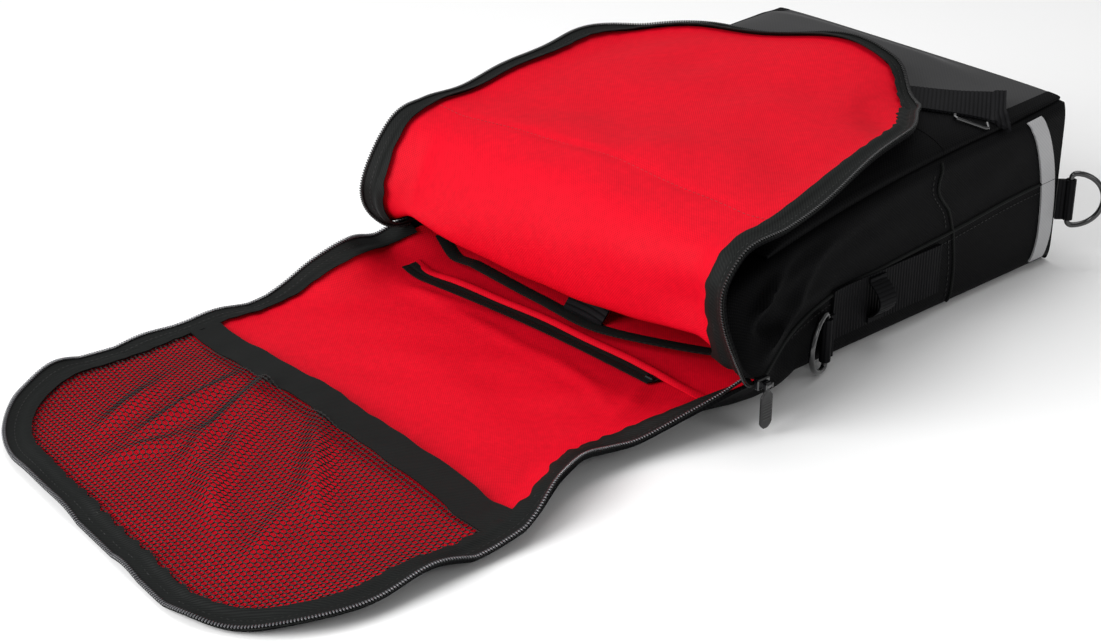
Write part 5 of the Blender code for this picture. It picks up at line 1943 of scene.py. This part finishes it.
@dataclass
class Rings:
    """The four D rings and the webbing tabs that hold their bars."""

    back: HalfShell
    wire: float = 0.0045
    inside: float = 0.040
    depth: float = 0.027
    corner: float = 0.004
    tab_width: float = 0.034
    tab_wall: float = 0.0016
    tail: float = 0.006
    above_floor: float = 0.0255
    base_above_floor: float = 0.0545
    base_bevel: float = 0.0011
    bar_gap: float = 0.0004

    def build(self) -> None:
        """Makes the four rings with their tabs."""
        radius = self.wire / 2 + self.bar_gap + self.tab_wall
        for side in Side:
            s = side.value
            across = self.back.half + self.above_floor + self.tab_width / 2 - SHELL_WALL
            along = WEBBING_END + CLEARANCE + self.tail + radius
            wall = self.back.place(np.array(s * across), np.array(along), -SHELL_WALL)
            out = s * (radius + LINING_EASE + CLEARANCE)
            place = Vector((float(wall[0]) + out, float(wall[1]), self.above_floor))
            low = -radius if s > 0 else radius - 2 * self.tab_wall
            self.ring(f"mouth_{side.word}", place, -90.0 + s * 20.0)
            self.tab(f"mouth_{side.word}", place, -90.0, low)
            base = BODY_LENGTH + CLEARANCE + SHELL_WALL
            corner = Vector((s * BODY_HALF_WIDTH, base, self.base_above_floor))
            reach = CLEARANCE - self.base_bevel * math.sqrt(0.5) + self.tail + radius
            place = corner + Vector((s, 1.0, 0.0)).normalized() * reach
            self.ring(f"base_{side.word}", place, 90.0 - s * 45.0)
            self.tab(f"base_{side.word}", place, 90.0 - s * 45.0, -self.tab_wall)

    def ring(self, label: str, place: Vector, heading: float) -> None:
        """Makes one ring: a straight bar, two small bends and a bow.

        Args:
            label: Which ring it is.
            place: The middle of its bar.
            heading: Degrees that its bow points to, from +X.
        """
        half = (self.inside + self.wire) / 2
        bend = self.corner
        quarter = math.pi / 2
        points = [(0.0, z) for z in np.linspace(-half + bend, half - bend, 12)]
        for angle in np.linspace(math.pi, quarter, 7)[1:]:
            points.append((bend + bend * math.cos(angle), half - bend + bend * math.sin(angle)))
        for angle in np.linspace(quarter, -quarter, 41)[1:]:
            points.append((bend + (self.depth - bend) * math.cos(angle), half * math.sin(angle)))
        for angle in np.linspace(-quarter, -math.pi, 7)[1:-1]:
            points.append((bend + bend * math.cos(angle), -half + bend + bend * math.sin(angle)))
        path = np.array([(x, 0.0, z) for x, z in points])
        mesh = tube_mesh(f"ring_{label}", path, self.wire / 2, 16, closed=True)
        mesh.transform(Matrix.Translation(place) @ Matrix.Rotation(math.radians(heading), 4, "Z"))
        put(f"ring_{label}", mesh, Finishes.enamel, f"d_ring_{label}", f"d_ring_{label}")

    def tab(self, label: str, place: Vector, heading: float, low: float) -> None:
        """Makes one tab: webbing round the bar, its two ends side by side.

        Args:
            label: Which ring it holds.
            place: The middle of the ring's bar.
            heading: Degrees that it points away from.
            low: Height of its tail in its section.
        """
        hole = self.wire / 2 + self.bar_gap
        radius = hole + self.tab_wall
        middle, high = low + self.tab_wall, low + 2 * self.tab_wall
        angles = np.linspace(-math.pi + math.asin(-low / radius), math.pi - math.asin(high / radius), 40)

        def section(size: float, first: float, last: float) -> np.ndarray:
            """Points round the bar, with the tail's end before and after them."""
            loop = [(size * math.cos(a), size * math.sin(a)) for a in angles]
            return np.array([(-radius - self.tail, first), *loop, (-radius - self.tail, last)])

        outer = section(radius, low, high)
        inner = section(hole, middle - 0.00005, middle + 0.00005)
        zs = np.linspace(-self.tab_width / 2, self.tab_width / 2, 30)
        faces = [np.stack(np.broadcast_arrays(line[:, :1], line[:, 1:], zs[None, :]), axis=-1)
                 for line in (inner, outer)]
        steps = np.concatenate([[0], np.cumsum(np.linalg.norm(np.diff(outer, axis=0), axis=1))])
        flat = np.stack(np.broadcast_arrays(zs[None, :], steps[:, None]), axis=-1)
        mesh = wall_mesh(f"tab_{label}", *faces, flat)
        mesh.transform(Matrix.Translation(place) @ Matrix.Rotation(math.radians(heading), 4, "Z"))
        put(f"tab_{label}", mesh, Finishes.webbing, f"ring_tab_{label}")


@dataclass
class Hardware:
    """The sliders, finished as the frame has them, and their moulded pulls."""

    length: float = 0.0332
    width: float = 0.0112
    wall: float = 0.0022
    neck: float = 0.0047
    neck_half: float = 0.0020
    shoulder: float = 0.0036
    tip: float = 0.0046
    barrel_width: float = 0.0045
    barrel_hole: float = 0.0014
    barrel_wall: float = 0.0010
    ridge_pitch: float = 0.0022

    def build(self) -> None:
        """Gives the sliders their finish and makes both pulls."""
        for node in ("zip_slider_near", "zip_slider_far", "pocket_zip_slider"):
            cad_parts[node].material_slots[0].material = Finishes.of(Finishes.enamel)
        for side in Side:
            low, high = (np.array(corner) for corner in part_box(f"zip_pull_{side.word}"))
            pin = np.array(((low[0] + high[0]) / 2, (low[1] + high[1]) / 2,
                            high[2] - self.barrel_hole - self.barrel_wall))
            self.barrel(side, pin)
            self.plate(side, pin)

    def barrel(self, side: Side, pin: np.ndarray) -> None:
        """Makes the eye that turns on the slider's pin.

        Args:
            side: Which side's pull it belongs to.
            pin: The middle of the pin.
        """
        angles = np.linspace(0.0, 2 * math.pi - 0.002, 33)[:, None]
        ys = self.barrel_width * np.linspace(-0.5, 0.5, 5)[None, :] + np.zeros_like(angles)
        walls = []
        for radius in (self.barrel_hole, self.barrel_hole + self.barrel_wall):
            ring = np.broadcast_arrays(radius * np.cos(angles), ys, radius * np.sin(angles))
            walls.append(pin + np.stack(ring, axis=-1))
        flat = np.stack([angles * self.barrel_hole + 0 * ys, ys], axis=-1)
        name = f"pull_eye_{side.word}"
        put(name, wall_mesh(name, *walls, flat), Finishes.enamel, f"zip_pull_{side.word}",
            f"zip_pull_{side.word}")

    def plate(self, side: Side, pin: np.ndarray) -> None:
        """Makes the long flat grip under the eye: straight sides, a blunt point and ridges.

        Args:
            side: Which side's pull it belongs to.
            pin: The middle of the pin.
        """
        start = self.barrel_hole + self.barrel_wall - 0.0003
        share = np.linspace(0.0, 1.0, 120)[:, None]
        down = start + (self.length - start) * share
        point = np.clip((down - self.length + self.tip) / self.tip, 0, 1)
        shoulder = np.clip((down - self.neck) / self.shoulder, 0, 1)
        half = self.neck_half + (self.width / 2 - self.neck_half) * shoulder
        half = half * (1 - 0.62 * point**1.6)
        over = np.sin(np.linspace(-math.pi / 2, math.pi / 2, 19))[None, :]
        rim = np.sqrt(np.clip(1 - over**2, 0, 1)) ** 0.35
        body = np.clip(np.minimum(down - 0.012, self.length - 0.006 - down) / 0.0010, 0, 1)
        ridges = 0.00034 * np.abs(np.sin(math.pi * down / self.ridge_pitch)) * body * (np.abs(over) < 0.8)
        thick = self.wall / 2 * (0.30 + 0.70 * rim) * (1 - 0.45 * point**3) + ridges
        ys, zs = half * over, -down + 0 * over
        sides = [pin + np.stack([way * thick, ys, zs], axis=-1) for way in (-1, 1)]
        name = f"pull_grip_{side.word}"
        put(name, wall_mesh(name, *sides, np.stack([ys, zs], axis=-1)), Finishes.rubber,
            body=f"zip_pull_{side.word}")


class Lamp(NamedTuple):
    """A square area lamp that is aimed at the backpack."""

    name: str
    place: tuple[float, float, float]
    size: float
    power: float


LAMPS = (
    Lamp("key_light", (-0.4, -2.1, 1.25), 1.6, 69.0),
    Lamp("top_light", (-0.3, 0.4, 2.4), 1.8, 25.0),
    Lamp("side_light", (2.2, 0.4, 1.2), 1.0, 6.0),
)


@dataclass
class Studio:
    """A plain pale floor, soft light and the camera at the photograph's angle."""

    spot: tuple[float, float, float] = (1.039, -0.943, 0.711)
    yaw: float = 48.6
    pitch: float = 26.5
    lens: float = 68.1
    air: float = 0.34
    reach: float = 6.0

    def build(self) -> None:
        """Makes the floor, the lamps and the camera."""
        scene = bpy.context.scene
        scene.view_settings.view_transform = "Standard"
        world = bpy.data.worlds.new("studio_air")
        world.use_nodes = True
        feed(world.node_tree, world.node_tree.nodes["Background"], {0: linear("#FFFFFF"), 1: self.air})
        scene.world = world
        self.build_floor()
        for lamp in LAMPS:
            data = bpy.data.lights.new(lamp.name, "AREA")
            data.size, data.energy = lamp.size, lamp.power
            self.hang(lamp.name, data, lamp.place, Vector((0, 0, 0.05)) - Vector(lamp.place))
        data = bpy.data.cameras.new("camera")
        data.sensor_width, data.lens = 36.0, self.lens
        yaw, pitch = math.radians(self.yaw), math.radians(self.pitch)
        way = Vector((-math.sin(yaw) * math.cos(pitch), math.cos(yaw) * math.cos(pitch), -math.sin(pitch)))
        scene.camera = self.hang("camera", data, self.spot, way)

    def build_floor(self) -> None:
        """Makes the floor, of pale paper."""
        mesh = bpy.data.meshes.new("studio_floor")
        spots = [(x * self.reach, y * self.reach, 0) for x, y in ((-1, -1), (1, -1), (1, 1), (-1, 1))]
        mesh.from_pydata(spots, [], [(0, 1, 2, 3)])
        made, tree, shader = new_material("pale_paper")
        feed(tree, shader, {"Base Color": linear("#FAFAFA"), "Roughness": 0.9})
        mesh.materials.append(made)
        floor = bpy.data.objects.new("studio_floor", mesh)
        bpy.context.scene.collection.objects.link(floor)

    def hang(self, name: str, data: bpy.types.ID, place: Sequence[float], way: Vector) -> bpy.types.Object:
        """Hangs a lamp or camera in the studio.

        Args:
            name: Its name.
            data: The lamp or camera.
            place: Where it hangs.
            way: The way that it looks.

        Returns:
            The new object.
        """
        item = bpy.data.objects.new(name, data)
        item.location = place
        item.rotation_mode = "QUATERNION"
        item.rotation_quaternion = way.to_track_quat("-Z", "Y")
        bpy.context.scene.collection.objects.link(item)
        return item


def corners(pair: tuple[Vector, Vector]) -> list[list[float]]:
    """A box's lowest and highest corner as plain lists."""
    return [[float(part) for part in corner] for corner in pair]


def main() -> None:
    """Builds the backpack's sub-assemblies in order, then the studio round them."""
    logging.basicConfig(level=logging.INFO, format="%(name)s: %(message)s")
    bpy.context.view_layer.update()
    back, front = back_half(), front_half()
    back.relief, front.relief = back_relief(back), front_relief(front)
    front.drape = front_drape
    shells = Shells(back, front)
    shells.build()
    Seams(back, front, shells).build()
    FlapZips(back, front).build()
    InnerPockets(back).build()
    Sleeve(back).build()
    pocket = FrontPocket(front)
    pocket.build()
    Webbings(back, front, pocket).build()
    Rings(back).build()
    Hardware().build()
    Studio().build()
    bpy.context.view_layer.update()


if __name__ == "__main__":
    main()
